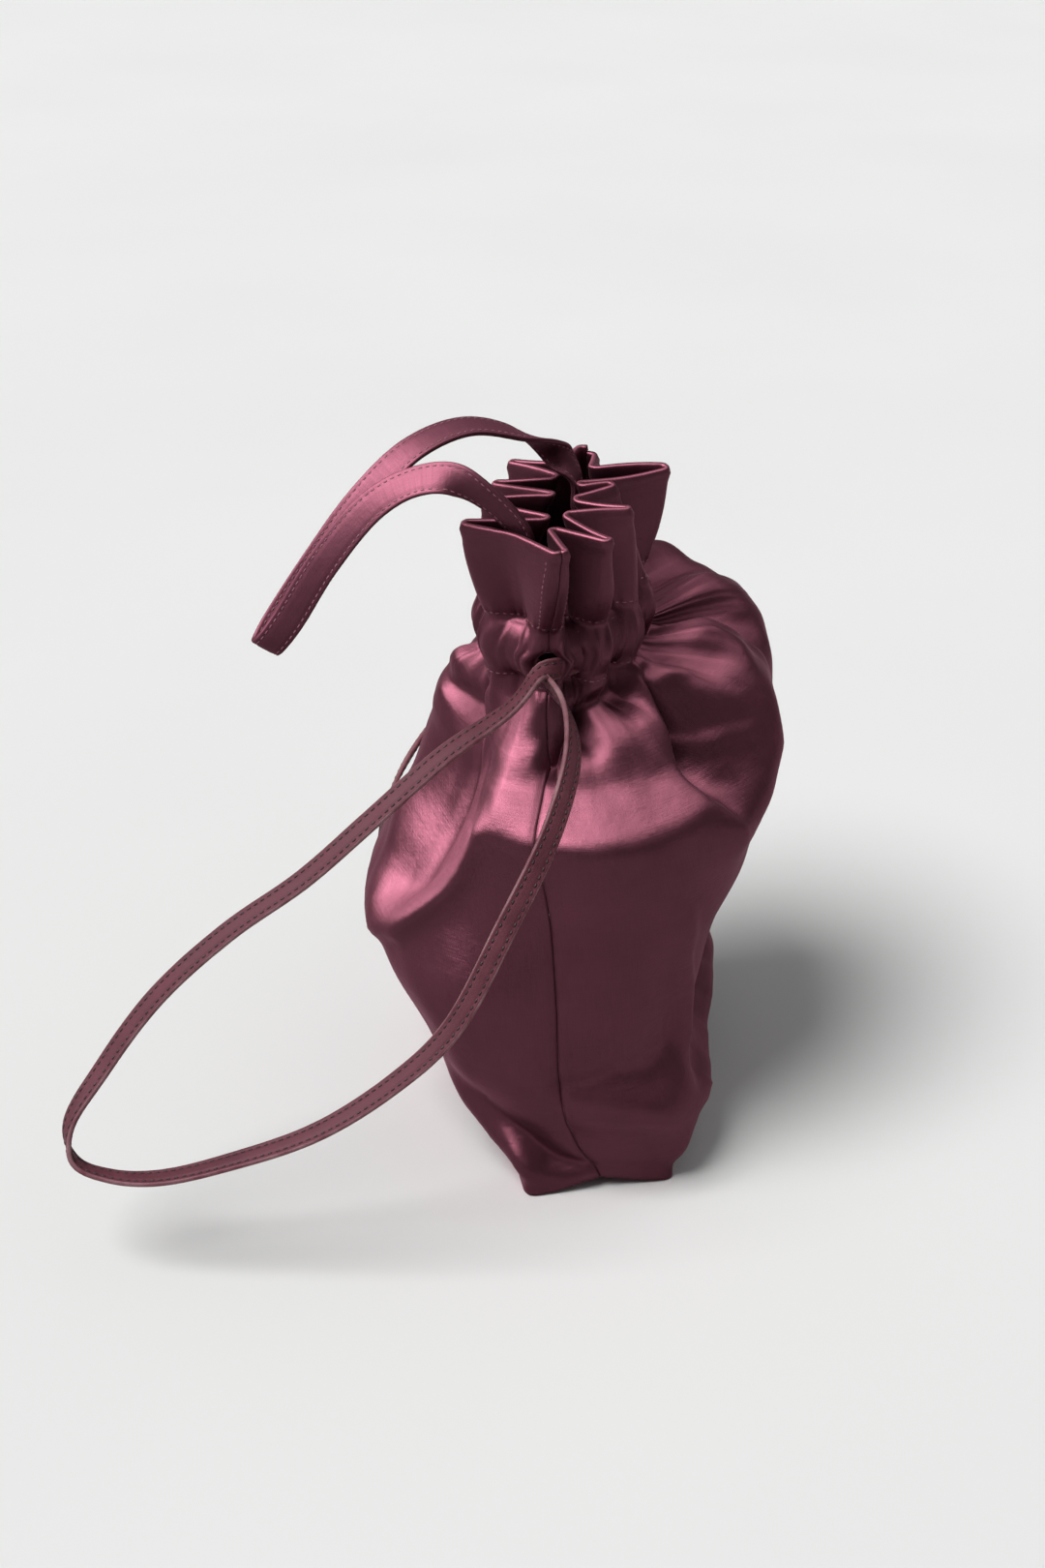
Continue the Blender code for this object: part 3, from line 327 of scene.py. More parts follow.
# Light: where each soft light shines from, its breadth in degrees, its strength, and whether
# it lights matt surfaces too or only adds to reflections
WORLD_LIGHT = 0.090
LIGHTS = (
    ("window", (-0.20, 0.50, 0.92), 34.0, 3.50, True),
    ("overhead", (0.25, 0.10, 1.00), 100.0, 0.20, True),
    ("fill", (0.00, -0.80, 0.60), 110.0, 0.50, True),
    ("sheen", (-0.10, 0.72, 0.73), 46.0, 15.0, False),
    ("glow", (0.10, -0.30, 0.95), 60.0, 2.2, False),
)

# Camera, in metres: where it stands and what it looks at
CAMERA_SPOT = (-0.65912, 0.13818, 0.47423)
CAMERA_LOOK = (0.0, 0.01227688, 0.1174282)
CAMERA_LENS = 50.0
FLOOR_REACH = 9.0


# Curves and outlines

def hermite(x, xs, ys):
    """Smooth curve through the points, with slopes between those of the neighbouring steps."""
    xs = np.asarray(xs, float)
    ys = np.asarray(ys, float)
    step = np.diff(xs)
    slope = np.diff(ys) / step
    tangent = np.zeros(len(xs))
    tangent[0] = slope[0]
    tangent[-1] = slope[-1]
    tangent[1:-1] = (slope[:-1] * step[1:] + slope[1:] * step[:-1]) / (step[:-1] + step[1:])
    x = np.clip(x, xs[0], xs[-1])
    i = np.clip(np.searchsorted(xs, x, side="right") - 1, 0, len(xs) - 2)
    h = step[i]
    t = (x - xs[i]) / h
    a = (1 + 2 * t) * (1 - t) ** 2
    b = t * (1 - t) ** 2
    c = t * t * (3 - 2 * t)
    d = t * t * (t - 1)
    return a * ys[i] + b * h * tangent[i] + c * ys[i + 1] + d * h * tangent[i + 1]


def through(x, table):
    """Smooth curve through a table of (x, y) points."""
    return hermite(x, *zip(*table))


def ease(x):
    x = np.clip(x, 0.0, 1.0)
    return x * x * (3 - 2 * x)


def mixed(a, b, share):
    return a * (1 - share) + b * share


def unit(vectors):
    return vectors / (np.linalg.norm(vectors, axis=-1, keepdims=True) + 1e-12)


def walk(points):
    """Distance walked along a path at each of its points."""
    return np.concatenate([[0], np.cumsum(np.linalg.norm(np.diff(points, axis=0), axis=1))])


def read(values, walked, where):
    """Values of a path at distances walked along it."""
    return np.column_stack([np.interp(where, walked, column) for column in np.transpose(values)])


def square_to(ways, facing):
    """Facings made square to the ways."""
    return unit(facing - ways * (facing * ways).sum(1)[:, None])


RING_LEVELS = np.arange(len(RINGS))
RING_VALUES = np.array(RINGS, float)


def outline(level, count=1440):
    """Closed outline of the outside at a ring level, from the near seam by the front side."""
    share, cx, cy, half_x, half_y, turn, square, _ = (
        hermite(level, RING_LEVELS, RING_VALUES[:, i]) for i in range(8)
    )
    angle = math.pi + 2 * math.pi * np.arange(count) / count
    cosine = np.cos(angle)
    sine = np.sin(angle)
    x = half_x * np.sign(cosine) * np.abs(cosine) ** (2 / square)
    y = half_y * np.sign(sine) * np.abs(sine) ** (2 / square)
    corner = 1 - ease(level / BASE_BLEND)
    turn = math.radians(turn)
    px = cx + x * math.cos(turn) - y * math.sin(turn)
    py = cy + x * math.sin(turn) + y * math.cos(turn)
    if corner > 0:
        square_x, square_y = base_outline(count)
        px = mixed(px, square_x, corner)
        py = mixed(py, square_y, corner)
    return px * PER_MILLE, py * PER_MILLE, share * NECK_HEIGHT


def base_outline(count):
    """Rounded rectangle of the base, in thousandths of PANEL_WIDTH."""
    half_x = BASE_LENGTH / 2 / PER_MILLE
    half_y = BASE_WIDTH / 2 / PER_MILLE
    length = 4 * (half_x + half_y)
    along = np.arange(count) / count * length
    stops = np.cumsum([0, half_y, 2 * half_x, 2 * half_y, 2 * half_x, half_y])
    x = np.interp(along, stops, [-half_x, -half_x, half_x, half_x, -half_x, -half_x])
    y = np.interp(along, stops, [0, -half_y, -half_y, half_y, half_y, 0])
    reach = max(1, round(BASE_CORNER / PER_MILLE / length * count))
    return averaged_loop(x, reach), averaged_loop(y, reach)


def averaged_loop(line, reach):
    window = np.ones(2 * reach + 1) / (2 * reach + 1)
    return np.convolve(np.concatenate([line[-reach:], line, line[:reach]]), window, "valid")


def at_share(px, py, share):
    """Points and outward normals at shares of an outline's length."""
    line = np.column_stack([np.append(px, px[0]), np.append(py, py[0])])
    walked = walk(line)
    whole = walked[-1]
    want = (np.asarray(share, float) % 1.0) * whole
    ahead, behind = (read(line, walked, (want + way * whole * NORMAL_REACH) % whole) for way in (1, -1))
    return read(line, walked, want), to_the_right(unit(ahead - behind))


def to_the_right(ways):
    """Ways in plan turned by a quarter to the right."""
    return np.column_stack([ways[:, 1], -ways[:, 0]])


# The mouth's folds

def folded_line():
    """The mouth's fold lines as the two edges of each fold's flat tip."""
    front = np.array(FRONT_FOLDS, float) * PER_MILLE
    back = np.array(BACK_FOLDS, float) * PER_MILLE
    points = np.concatenate([back[::-1], front[1:-1]])
    near = len(back) - 1
    into = unit(points - np.roll(points, 1, axis=0))
    out = unit(np.roll(points, -1, axis=0) - points)
    along = unit(into + out)
    flat = np.full(len(points), FOLD_FLAT)
    flat[[0, near]] = SEAM_FLAT
    edges = np.stack([points - along * flat[:, None] / 2, points + along * flat[:, None] / 2], 1)
    sign = np.where(np.arange(len(points)) % 2 == 0, 1.0, -1.0)
    loop = np.concatenate([edges.reshape(-1, 2)[1:], edges[0]])
    walked = walk(loop) + SEAM_FLAT / 2
    walked[-1] -= SEAM_FLAT / 2
    middle = (walked[2 * near - 1] + walked[2 * near]) / 2
    run = np.where(
        walked < middle,
        (walked / middle - 1) * PANEL_WIDTH,
        (walked - middle) / (walked[-1] - middle) * PANEL_WIDTH,
    )
    run = np.concatenate([[-PANEL_WIDTH], run])
    loop = np.concatenate([[points[0]], loop[:-1], [points[0]]])
    signs = np.concatenate([np.repeat(sign, 2), [sign[0], sign[0]]])
    return run, loop, signs


EDGE_RUN, EDGE_POINTS, EDGE_SIGN = folded_line()


def wrapped(run):
    """Place in the cloth brought into -PANEL_WIDTH to PANEL_WIDTH."""
    return (np.asarray(run, float) + PANEL_WIDTH) % GIRTH - PANEL_WIDTH


def wave(run):
    """+1 on each outer fold, -1 on each inner one."""
    run = wrapped(run)
    i = np.clip(np.searchsorted(EDGE_RUN, run, side="right") - 1, 0, len(EDGE_RUN) - 2)
    t = ease((run - EDGE_RUN[i]) / (EDGE_RUN[i + 1] - EDGE_RUN[i]))
    return mixed(EDGE_SIGN[i], EDGE_SIGN[i + 1], t)


def fold_middles(side):
    """Places in the cloth of a panel's folds, from the near seam at 0 to the far one."""
    edges = EDGE_RUN * side
    edges = np.sort(edges[(edges > 1e-6) & (edges < PANEL_WIDTH - 1e-6)])
    return np.concatenate([[0.0], (edges[1:-1:2] + edges[2:-1:2]) / 2, [PANEL_WIDTH]])


NECK_OUTLINE = outline(TOP_LEVEL)[:2]
NECK_AROUND = walk(np.column_stack([np.append(line, line[0]) for line in NECK_OUTLINE]))[-1]


def ring_share_of_edges():
    """Share of the neck's outline where each fold's edges stand."""
    count = 1440
    angle = 2 * math.pi * np.arange(count + 1) / count
    way = angle + math.pi
    walked = walk(np.column_stack([NECK_LENGTH * np.cos(way), NECK_WIDTH * np.sin(way)]))
    walked /= walked[-1]
    folds = np.arange(2, len(EDGE_RUN) - 2, 2)
    middle_run = (EDGE_RUN[folds] + EDGE_RUN[folds + 1]) / 2
    middle = (EDGE_POINTS[folds] + EDGE_POINTS[folds + 1]) / 2
    sign = EDGE_SIGN[folds]
    direction = np.arctan2(middle[:, 1] / NECK_WIDTH, middle[:, 0] / NECK_LENGTH)
    share = np.interp((direction - math.pi) % (2 * math.pi), angle, walked)
    share = np.where(middle_run < -1e-6, np.where(share > 0.02, share - 1, share), share)
    share = np.where((np.abs(middle_run) < 1e-6) & (share > 0.5), share - 1, share)
    end = EDGE_POINTS[0]
    end_direction = math.atan2(end[1] / NECK_WIDTH, end[0] / NECK_LENGTH)
    end_share = np.interp((end_direction - math.pi) % (2 * math.pi), angle, walked)
    full = np.concatenate([[end_share - 1], share, [end_share]])
    run = np.concatenate([[-PANEL_WIDTH], middle_run, [PANEL_WIDTH]])
    signs = np.concatenate([[1.0], sign, [1.0]])
    for i in np.where(signs < 0)[0]:
        full[i] = (full[i - 1] + full[i + 1]) / 2
    full = mixed(full, run / GIRTH, EVEN_SHARE)
    edge_share = [full[0], full[0] + SEAM_FLAT / 2 / NECK_AROUND]
    for i, place in enumerate(full[1:-1]):
        flat = SEAM_FLAT if abs(middle_run[i]) < 1e-6 else FOLD_FLAT
        edge_share += [place - flat / 2 / NECK_AROUND, place + flat / 2 / NECK_AROUND]
    edge_share += [full[-1] - SEAM_FLAT / 2 / NECK_AROUND, full[-1]]
    return np.array(edge_share)


EDGE_SHARE = ring_share_of_edges()


def neck_share(run):
    """Share of the neck's outline that a place in the cloth is gathered to."""
    turns = np.floor((np.asarray(run, float) + PANEL_WIDTH) / GIRTH)
    return np.interp(wrapped(run), EDGE_RUN, EDGE_SHARE) + turns


def mouth(run):
    """Centre line between the header's layers at the top, in plan."""
    fine = np.linspace(-PANEL_WIDTH, PANEL_WIDTH, 4201)
    reach = round(FOLD_ROUNDING / (fine[1] - fine[0]))
    rounded = []
    for i in range(2):
        line = np.interp(fine, EDGE_RUN, EDGE_POINTS[:, i])
        line = averaged_loop(line[:-1], reach)
        rounded.append(np.interp(wrapped(run), fine, np.append(line, line[0])))
    along, across = rounded
    c = math.cos(NECK_TURN)
    s = math.sin(NECK_TURN)
    return np.stack([NECK_X + along * c - across * s, NECK_Y + along * s + across * c], -1)


def neck_ring(share):
    return at_share(*NECK_OUTLINE, share)


def opened(run, near, far):
    """Share of the neck's outline with the cloth drawn back from the string openings, each
    opened by its own amount from 0 to 1."""
    share = neck_share(run)
    panel_middle = np.sign(np.median(run)) * PANEL_WIDTH / 2
    for seam in (0.0, PANEL_WIDTH, -PANEL_WIDTH):
        middle = float(neck_share(np.array([seam]))[0])
        away = (share - middle) * NECK_AROUND
        side = np.sign(panel_middle - seam)
        amount = near if seam == 0.0 else far
        moved = side * (OPENING_HALF + np.abs(away) * (1 - OPENING_HALF / OPENING_REACH))
        moved = away + (moved - away) * amount
        share = middle + np.where(np.abs(away) < OPENING_REACH, moved, away) / NECK_AROUND
    return share


# Small forms of the cloth

def ripples(u, v, lengths, seed, count=9):
    """Sum of soft waves with chosen lengths in metres, from -1 to 1 for the most part."""
    rng = np.random.default_rng(seed)
    total = np.zeros(np.broadcast(u, v).shape)
    for _ in range(count):
        length = rng.uniform(*lengths)
        way = rng.uniform(0, math.pi)
        phase = rng.uniform(0, 2 * math.pi)
        total += np.sin(2 * math.pi * (u * math.cos(way) + v * math.sin(way)) / length + phase)
    return total / math.sqrt(count)


def gather_wave(u, seed, lengths=(0.0042, 0.0085)):
    """Fine upright gathers, as waves along the cloth."""
    rng = np.random.default_rng(seed)
    total = np.zeros(np.shape(u))
    for _ in range(6):
        total += np.sin(2 * math.pi * u / rng.uniform(*lengths) + rng.uniform(0, 2 * math.pi))
    return total / math.sqrt(6)


# Cloth from one ring level to the next
LEVEL_STEP = NECK_HEIGHT * SIDE_LENGTH_RATIO / TOP_LEVEL


def body_folds(run, level):
    """Height of the folds and swellings of the body at a place in the cloth."""
    total = np.zeros(np.shape(run))
    x = np.asarray(run, float) * 1000
    y = np.asarray(level, float) * LEVEL_STEP * 1000
    around = GIRTH * 1000
    for depth, left, right, path in BODY_FOLDS:
        points = np.array(path, float)
        ax = points[:, 0]
        ay = points[:, 1] * LEVEL_STEP * 1000
        nearest = np.full(np.shape(run), 1e9)
        breadth = np.full(np.shape(run), float(left))
        strength = np.zeros(np.shape(run))
        for i in range(len(points) - 1):
            dx = ax[i + 1] - ax[i]
            dy = ay[i + 1] - ay[i]
            gx = (x - ax[i] + around / 2) % around - around / 2
            gy = y - ay[i]
            t = np.clip((gx * dx + gy * dy) / (dx * dx + dy * dy), 0, 1)
            away = np.hypot(gx - t * dx, gy - t * dy)
            on_right = 0.5 + 0.5 * np.tanh((gx * dy - gy * dx) / math.hypot(dx, dy) / 3)
            closer = away < nearest
            nearest = np.where(closer, away, nearest)
            breadth = np.where(closer, mixed(left, right, on_right), breadth)
            strength = np.where(closer, mixed(points[i, 2], points[i + 1, 2], t), strength)
        total += depth / 1000 * strength * np.exp(-((nearest / breadth) ** 2))
    return total


def plain_row(run, level):
    """The body's outline at a ring level before folds: points, outward normals and heights."""
    px, py, z = outline(level)
    rise_share = hermite(level, RING_LEVELS, RING_VALUES[:, 7])
    gather = ease((level - GATHER_FROM) / (TOP_LEVEL - GATHER_FROM))
    wander = through(level, SEAM_WANDER) / 1000 * np.exp(-((wrapped(run) / SEAM_WANDER_BREADTH) ** 2))
    share = mixed(run / GIRTH, neck_share(run), gather) + wander / GIRTH
    point, normal = at_share(px, py, share)
    tilt = (point - [px.mean(), py.mean()]) @ RISE_WAY * rise_share
    return point, normal, z + tilt


PLAIN_RUNS = np.linspace(-PLAIN_REACH, PLAIN_REACH, 131)
PLAIN_LEVELS = np.linspace(PLAIN_FROM, TOP_LEVEL, 101)
PLAIN = np.array([np.column_stack(plain_row(PLAIN_RUNS, level)[::2]) for level in PLAIN_LEVELS])


def plain_at(run, levels):
    """Plain body points at a ring level of its own for each place in the cloth."""
    reach = PLAIN_REACH - 0.0001
    column = (np.clip(run, -reach, reach) + PLAIN_REACH) / (PLAIN_RUNS[1] - PLAIN_RUNS[0])
    row = (np.clip(levels, PLAIN_FROM, TOP_LEVEL - 1e-6) - PLAIN_FROM) / (PLAIN_LEVELS[1] - PLAIN_LEVELS[0])
    i = row.astype(int)
    j = column.astype(int)
    u = (row - i)[:, None]
    v = (column - j)[:, None]
    return mixed(mixed(PLAIN[i, j], PLAIN[i, j + 1], v), mixed(PLAIN[i + 1, j], PLAIN[i + 1, j + 1], v), u)


def sloped(run, level, point, z):
    """The row with its near shoulder drawn onto a straight slope from the neck."""
    place = wrapped(run)
    mm = place * 1000
    foot = through(mm, SLOPE_FOOT)
    left_from, left_full, right_full, right_from = SLOPE_REACH
    left = ease((SLOPE_LEFT[0] - mm) / SLOPE_LEFT[1])
    share = ease((mm - left_from) / (left_full - left_from))
    share = share * ease((right_from - mm) / (right_from - right_full))
    share = share * ease((level - foot) / mixed(*SLOPE_SOFT, left))
    down = np.clip((TOP_LEVEL - level) / (TOP_LEVEL - foot), 0, 1)
    top = plain_at(place, np.full(len(place), TOP_LEVEL))
    low = plain_at(place, foot)
    slope = mixed(top, low, (down ** (1 + mixed(*SLOPE_HOLLOW, left)))[:, None])
    slope_z = mixed(top[:, 2], low[:, 2], down)
    return mixed(point, slope[:, :2], share[:, None]), mixed(z, slope_z, share)


def body_row(run, level):
    """Outside of the body at a ring level, below the casing."""
    point, normal, z = plain_row(run, level)
    point, z = sloped(run, level, point, z)
    gathers, lift, out = (through(level, table) for table in (GATHER_DEPTH, GATHER_LIFT, GATHER_OUT))
    start, end, breadth = NEAR_SHOULDER
    near = ease((wrapped(run) - start) / breadth) * ease((end - wrapped(run)) / breadth)
    calm, calm_fine = (
        share * near * ease((below - level) / over) for share, below, over in (CALM_GATHERS, CALM_FINE)
    )
    rise = wave(run) * PLEAT_DEPTH_AT_STITCHES * gathers * (1 - calm)
    fade = ease((TOP_LEVEL - level) / 0.7) * ease(level / 0.5)
    extra = body_folds(run, level) * fade
    extra += ripples(run, level * LEVEL_STEP, (0.016, 0.042), 11) * BODY_RIPPLE * fade
    fine = gather_wave(run + 0.00024 * (TOP_LEVEL - level), 5)
    extra += fine * FINE_GATHER * ease((level - 6.3) / 1.4) * (1 - calm_fine)
    groove = np.exp(-((seam_distance(run) / SEAM_GROOVE_BREADTH) ** 2))
    extra -= SEAM_GROOVE * groove * ease((TOP_LEVEL - level) / 0.6)
    spot = point + normal * (rise * out + extra)[:, None]
    z = z + rise * lift + extra * 0.35 * ease((level - 4.5) / 1.0)
    z += GAP * (1 - ease(level / 0.3)) + foot_arch(run) * (1 - ease(level / 0.9))
    return np.column_stack([spot, z])


def seam_distance(run):
    away = np.abs(wrapped(run))
    return np.minimum(away, PANEL_WIDTH - away)


def foot_arch(run):
    """How far the foot is drawn up at each side seam, between the base's corners."""
    return FOOT_ARCH * np.exp(-((seam_distance(run) / FOOT_ARCH_REACH) ** 2))


def gathered_line(run):
    """Centre line between the layers where they are stitched, with the neck's normals."""
    point, normal = neck_ring(neck_share(run))
    return point + normal * (wave(run) * PLEAT_DEPTH_AT_STITCHES)[:, None], normal


def stitched_row(run, z, side):
    """One layer of a stitched line of the casing: side is +1 for the outside."""
    centre, _ = gathered_line(run)
    return np.column_stack([centre + sideways(centre) * side * LAYER_STEP / 2, np.full(len(run), z)])


def sideways(centre):
    """Outward normals of a line in plan."""
    ahead = np.vstack([centre[1:], 2 * centre[-1] - centre[-2]])
    behind = np.vstack([2 * centre[0] - centre[1], centre[:-1]])
    return to_the_right(unit(ahead - behind))


def casing_row(run, share, side):
    """One layer of the string tunnel: share runs from its lower stitches to its upper ones."""
    z = NECK_HEIGHT + (CASING_TOP - NECK_HEIGHT) * share
    fullness = math.sin(math.pi * share) ** TUNNEL_ROUND if 0 < share < 1 else 0.0
    shut = stitched_row(run, z, side)[:, :2]
    if side > 0:
        low_end, high_start, change = OPENING_SPANS
        low = fullness * (1 - ease((share - low_end) / change))
        high = fullness * ease((share - high_start) / change)
        point, normal = neck_ring(opened(run, low, high))
        calm = ease(seam_distance(run) / 0.012)
        puff = PUFF_OUT * (0.5 + 0.5 * wave(run)) * fullness * calm
        crinkle = gather_wave(run + 0.0016 * math.sin(share * 5), 21, (0.0045, 0.011))
        crinkle += 0.8 * gather_wave(run, 22, (0.003, 0.006)) * (1 - fullness)
        puff = puff + crinkle * CASING_CRINKLE * (0.35 + 0.65 * fullness)
    else:
        point, normal = neck_ring(neck_share(run))
        puff = -PUFF_IN * (0.5 - 0.5 * wave(run)) * fullness
    wide = point + normal * (side * TUNNEL_HALF + puff)[:, None]
    lean = CASING_SWAY * gather_wave(run, 31, (0.008, 0.02)) * math.sin(math.pi * share)
    return np.column_stack([mixed(shut, wide, fullness), z + lean])


def header_row(run, share, side):
    """One layer of the header: share runs from the casing at 0 to the top at 1."""
    low, normal = gathered_line(run)
    centre = mixed(low, mouth(run), share ** 0.75)
    across = sideways(centre)
    sway = ripples(run, share * HEADER_HEIGHT, (0.020, 0.045), 41) * HEADER_SWAY
    sway = sway * math.sin(math.pi * share * 0.62)
    arch = math.sin(math.pi * share)
    centre = centre + normal * HEADER_BELLY * arch + across * sway[:, None]
    z = CASING_TOP + HEADER_HEIGHT * share
    z = z + share * (HEADER_TOP_WAVE * ripples(run, 0.0, (0.03, 0.07), 43, 4) - HEADER_TOP_DROP)
    pinch = gather_wave(run, 23, (0.003, 0.006)) * HEADER_PINCH * (1 - ease(share / 0.22))
    rolled = RIM_ROLL * math.exp(-(((share - 0.93) / 0.05) ** 2))
    half = side * (LAYER_STEP / 2 + 0.0003 * arch + rolled)
    spot = centre + across * half + across * pinch[:, None] * (side > 0)
    return np.column_stack([spot, z])


def panel_rows(run):
    """Rows of a panel from its foot up the outside, over the top and down inside."""
    levels = TOP_LEVEL * np.linspace(0, 1, BODY_ROWS)
    rows = [body_row(run, level) for level in levels[:-1]]
    rows += [casing_row(run, share, 1) for share in np.linspace(0, 1, CASING_ROWS)]
    edge = 1 - LAYER_STEP / 2 / HEADER_HEIGHT
    outer = np.linspace(0, edge, HEADER_ROWS)[1:]
    rows += [header_row(run, share, 1) for share in outer]
    for turn in (30, 60, 90, 120, 150):
        angle = math.radians(turn)
        row = header_row(run, edge, math.cos(angle))
        row[:, 2] += math.sin(angle) * LAYER_STEP * 0.6
        rows.append(row)
    rows += [header_row(run, share, -1) for share in outer[::-2]]
    rows += [casing_row(run, share, -1) for share in np.linspace(1, 0, CASING_ROWS // 2)]
    rows.append(stitched_row(run, NECK_HEIGHT - HEM_BELOW_CASING, -1))
    return rows


# Materials

class Nodes:
    """Short calls for one material's nodes."""

    def __init__(self, name):
        self.material = bpy.data.materials.new(name)
        self.material.use_nodes = True
        self.tree = self.material.node_tree
        self.shader = self.tree.nodes["Principled BSDF"]

    def put(self, node, inputs):
        """Links or sets a node's inputs, by name or number."""
        for key, value in inputs.items():
            if hasattr(value, "is_linked"):
                self.tree.links.new(value, node.inputs[key])
            else:
                node.inputs[key].default_value = value
        return node

    def add(self, kind, inputs=None, **settings):
        node = self.tree.nodes.new(kind)
        for key, value in settings.items():
            setattr(node, key, value)
        return self.put(node, inputs or {})

    def math(self, operation, a, b=0.0, c=0.0):
        return self.add("ShaderNodeMath", {0: a, 1: b, 2: c}, operation=operation).outputs[0]

    def mix(self, share, a, b):
        a, b = (colour if hasattr(colour, "is_linked") else (*colour, 1.0) for colour in (a, b))
        return self.add("ShaderNodeMix", {0: share, 6: a, 7: b}, data_type="RGBA").outputs[2]

    def noise(self, place, scale, detail=2.0, roughness=0.5):
        inputs = {"Vector": place, "Scale": scale, "Detail": detail, "Roughness": roughness}
        return self.add("ShaderNodeTexNoise", inputs).outputs["Fac"]

    def uv(self, scale=(1, 1, 1)):
        place = self.add("ShaderNodeUVMap", uv_map="cloth").outputs[0]
        return self.add("ShaderNodeMapping", {"Vector": place, "Scale": scale}).outputs[0]

    def place(self):
        return self.add("ShaderNodeTexCoord").outputs["Object"]

    def bump(self, height, strength, distance, before=None):
        inputs = {"Strength": strength, "Distance": distance, "Height": height}
        if before is not None:
            inputs["Normal"] = before
        return self.add("ShaderNodeBump", inputs).outputs[0]

    def ramp(self, share, low, high, start=0.0, end=1.0):
        inputs = {"Value": share, "From Min": start, "From Max": end, "To Min": low, "To Max": high}
        return self.add("ShaderNodeMapRange", inputs).outputs[0]


def satin(name, colour=SATIN, deep=SATIN_DEEP, roughness=0.50, streak=0.72):
    """Polyester satin: long warp floats with fine weft ties, and a tinted sheen."""
    n = Nodes(name)
    thread = n.uv((1 / 0.00034, 1 / 0.00034, 1))
    across, along = n.add("ShaderNodeSeparateXYZ", {0: thread}).outputs[:2]
    warp = n.math("SINE", n.math("MULTIPLY", across, 2 * math.pi))
    step = n.math("MULTIPLY_ADD", across, 0.4, n.math("MULTIPLY", along, 0.2))
    tie = n.math("SINE", n.math("MULTIPLY", step, 2 * math.pi))
    tie = n.math("MULTIPLY", n.math("MAXIMUM", tie, 0.0), -0.6)
    weave = n.math("ADD", n.math("MULTIPLY", warp, 0.5), tie)
    slub = n.noise(n.uv((2600, 90, 1)), 1.0, 3.0, 0.6)
    cross_slub = n.noise(n.uv((70, 1500, 1)), 1.0, 2.0, 0.5)
    cloudy = n.noise(n.place(), 34.0, 3.0, 0.55)
    pucker = n.noise(n.place(), 210.0, 3.0, 0.55)
    shade = n.ramp(cloudy, 0.0, 1.0, 0.3, 0.7)
    tone = n.mix(shade, deep, colour)
    fleck = n.ramp(slub, 0.0, 1.0, 0.25, 0.75)
    lighter = tuple(min(1.0, c * 1.35) for c in colour)
    slubs = n.math("ADD", slub, cross_slub)
    bump = n.bump(slubs, 0.10, 0.0004, n.bump(pucker, 0.16, 0.0012))
    n.put(n.shader, {
        "Base Color": n.mix(n.math("MULTIPLY", fleck, 0.35), tone, lighter),
        "Roughness": n.ramp(slubs, roughness - 0.05, roughness + 0.06, 0.6, 1.4),
        "Metallic": 0.85, "Specular Tint": (1.0, 0.62, 0.72, 1.0),
        "Sheen Weight": 0.08, "Sheen Roughness": 0.35, "Sheen Tint": (0.85, 0.45, 0.55, 1.0),
        "Anisotropic": streak, "Anisotropic Rotation": 0.0,
        "Tangent": n.add("ShaderNodeTangent", direction_type="UV_MAP", uv_map="cloth").outputs[0],
        "Normal": n.bump(weave, 0.16, 0.00010, bump),
    })
    return n.material


def leather(name, colour=LEATHER, deep=LEATHER_DEEP, roughness=0.58):
    """Soft dyed leather with pores and a pebbled grain."""
    n = Nodes(name)
    place = n.place()
    cells = n.add("ShaderNodeTexVoronoi", {"Vector": place, "Scale": 1500.0}, feature="DISTANCE_TO_EDGE")
    grain = n.ramp(cells.outputs["Distance"], 0.0, 1.0, 0.0, 0.22)
    pores = n.noise(place, 2600.0, 2.0, 0.6)
    wear = n.noise(place, 95.0, 4.0, 0.6)
    tone = n.mix(n.ramp(wear, 0.0, 1.0, 0.32, 0.68), deep, colour)
    tone = n.mix(n.math("MULTIPLY", n.ramp(grain, 1.0, 0.0), 0.35), tone, deep)
    bump = n.bump(grain, 0.35, 0.00010, n.bump(wear, 0.15, 0.0006))
    n.put(n.shader, {
        "Base Color": tone,
        "Roughness": n.ramp(wear, roughness - 0.06, roughness + 0.08, 0.3, 0.7),
        "Specular IOR Level": 0.10, "Specular Tint": (1.0, 0.60, 0.68, 1.0),
        "Normal": n.bump(pores, 0.12, 0.00006, bump),
    })
    return n.material


def thread(name, colour):
    """Twisted sewing thread."""
    n = Nodes(name)
    twist = n.add("ShaderNodeTexWave", {"Vector": n.place(), "Scale": 900.0, "Distortion": 1.5},
                  wave_type="BANDS", bands_direction="DIAGONAL").outputs["Fac"]
    darker = tuple(c * 0.62 for c in colour)
    n.put(n.shader, {
        "Base Color": n.mix(twist, darker, colour), "Roughness": 0.60, "Specular IOR Level": 0.15,
        "Normal": n.bump(twist, 0.4, 0.00008),
    })
    return n.material


def paper_floor(name):
    """Pale seamless backdrop paper."""
    n = Nodes(name)
    cloudy = n.noise(n.place(), 3.0, 3.0, 0.5)
    paler = tuple(c * 1.03 for c in FLOOR)
    n.put(n.shader, {
        "Base Color": n.mix(n.ramp(cloudy, 0.0, 1.0, 0.3, 0.7), FLOOR, paler),
        "Roughness": 0.85, "Specular IOR Level": 0.2,
        "Normal": n.bump(n.noise(n.place(), 900.0, 3.0), 0.05, 0.0003),
    })
    return n.material


# Meshes

def placed(name, data):
    """A new object with this data, in the scene."""
    obj = bpy.data.objects.new(name, data)
    bpy.context.scene.collection.objects.link(obj)
    return obj


def thickened(obj, thickness):
    thick = obj.modifiers.new("thickness", "SOLIDIFY")
    thick.thickness = thickness
    thick.offset = 0.0


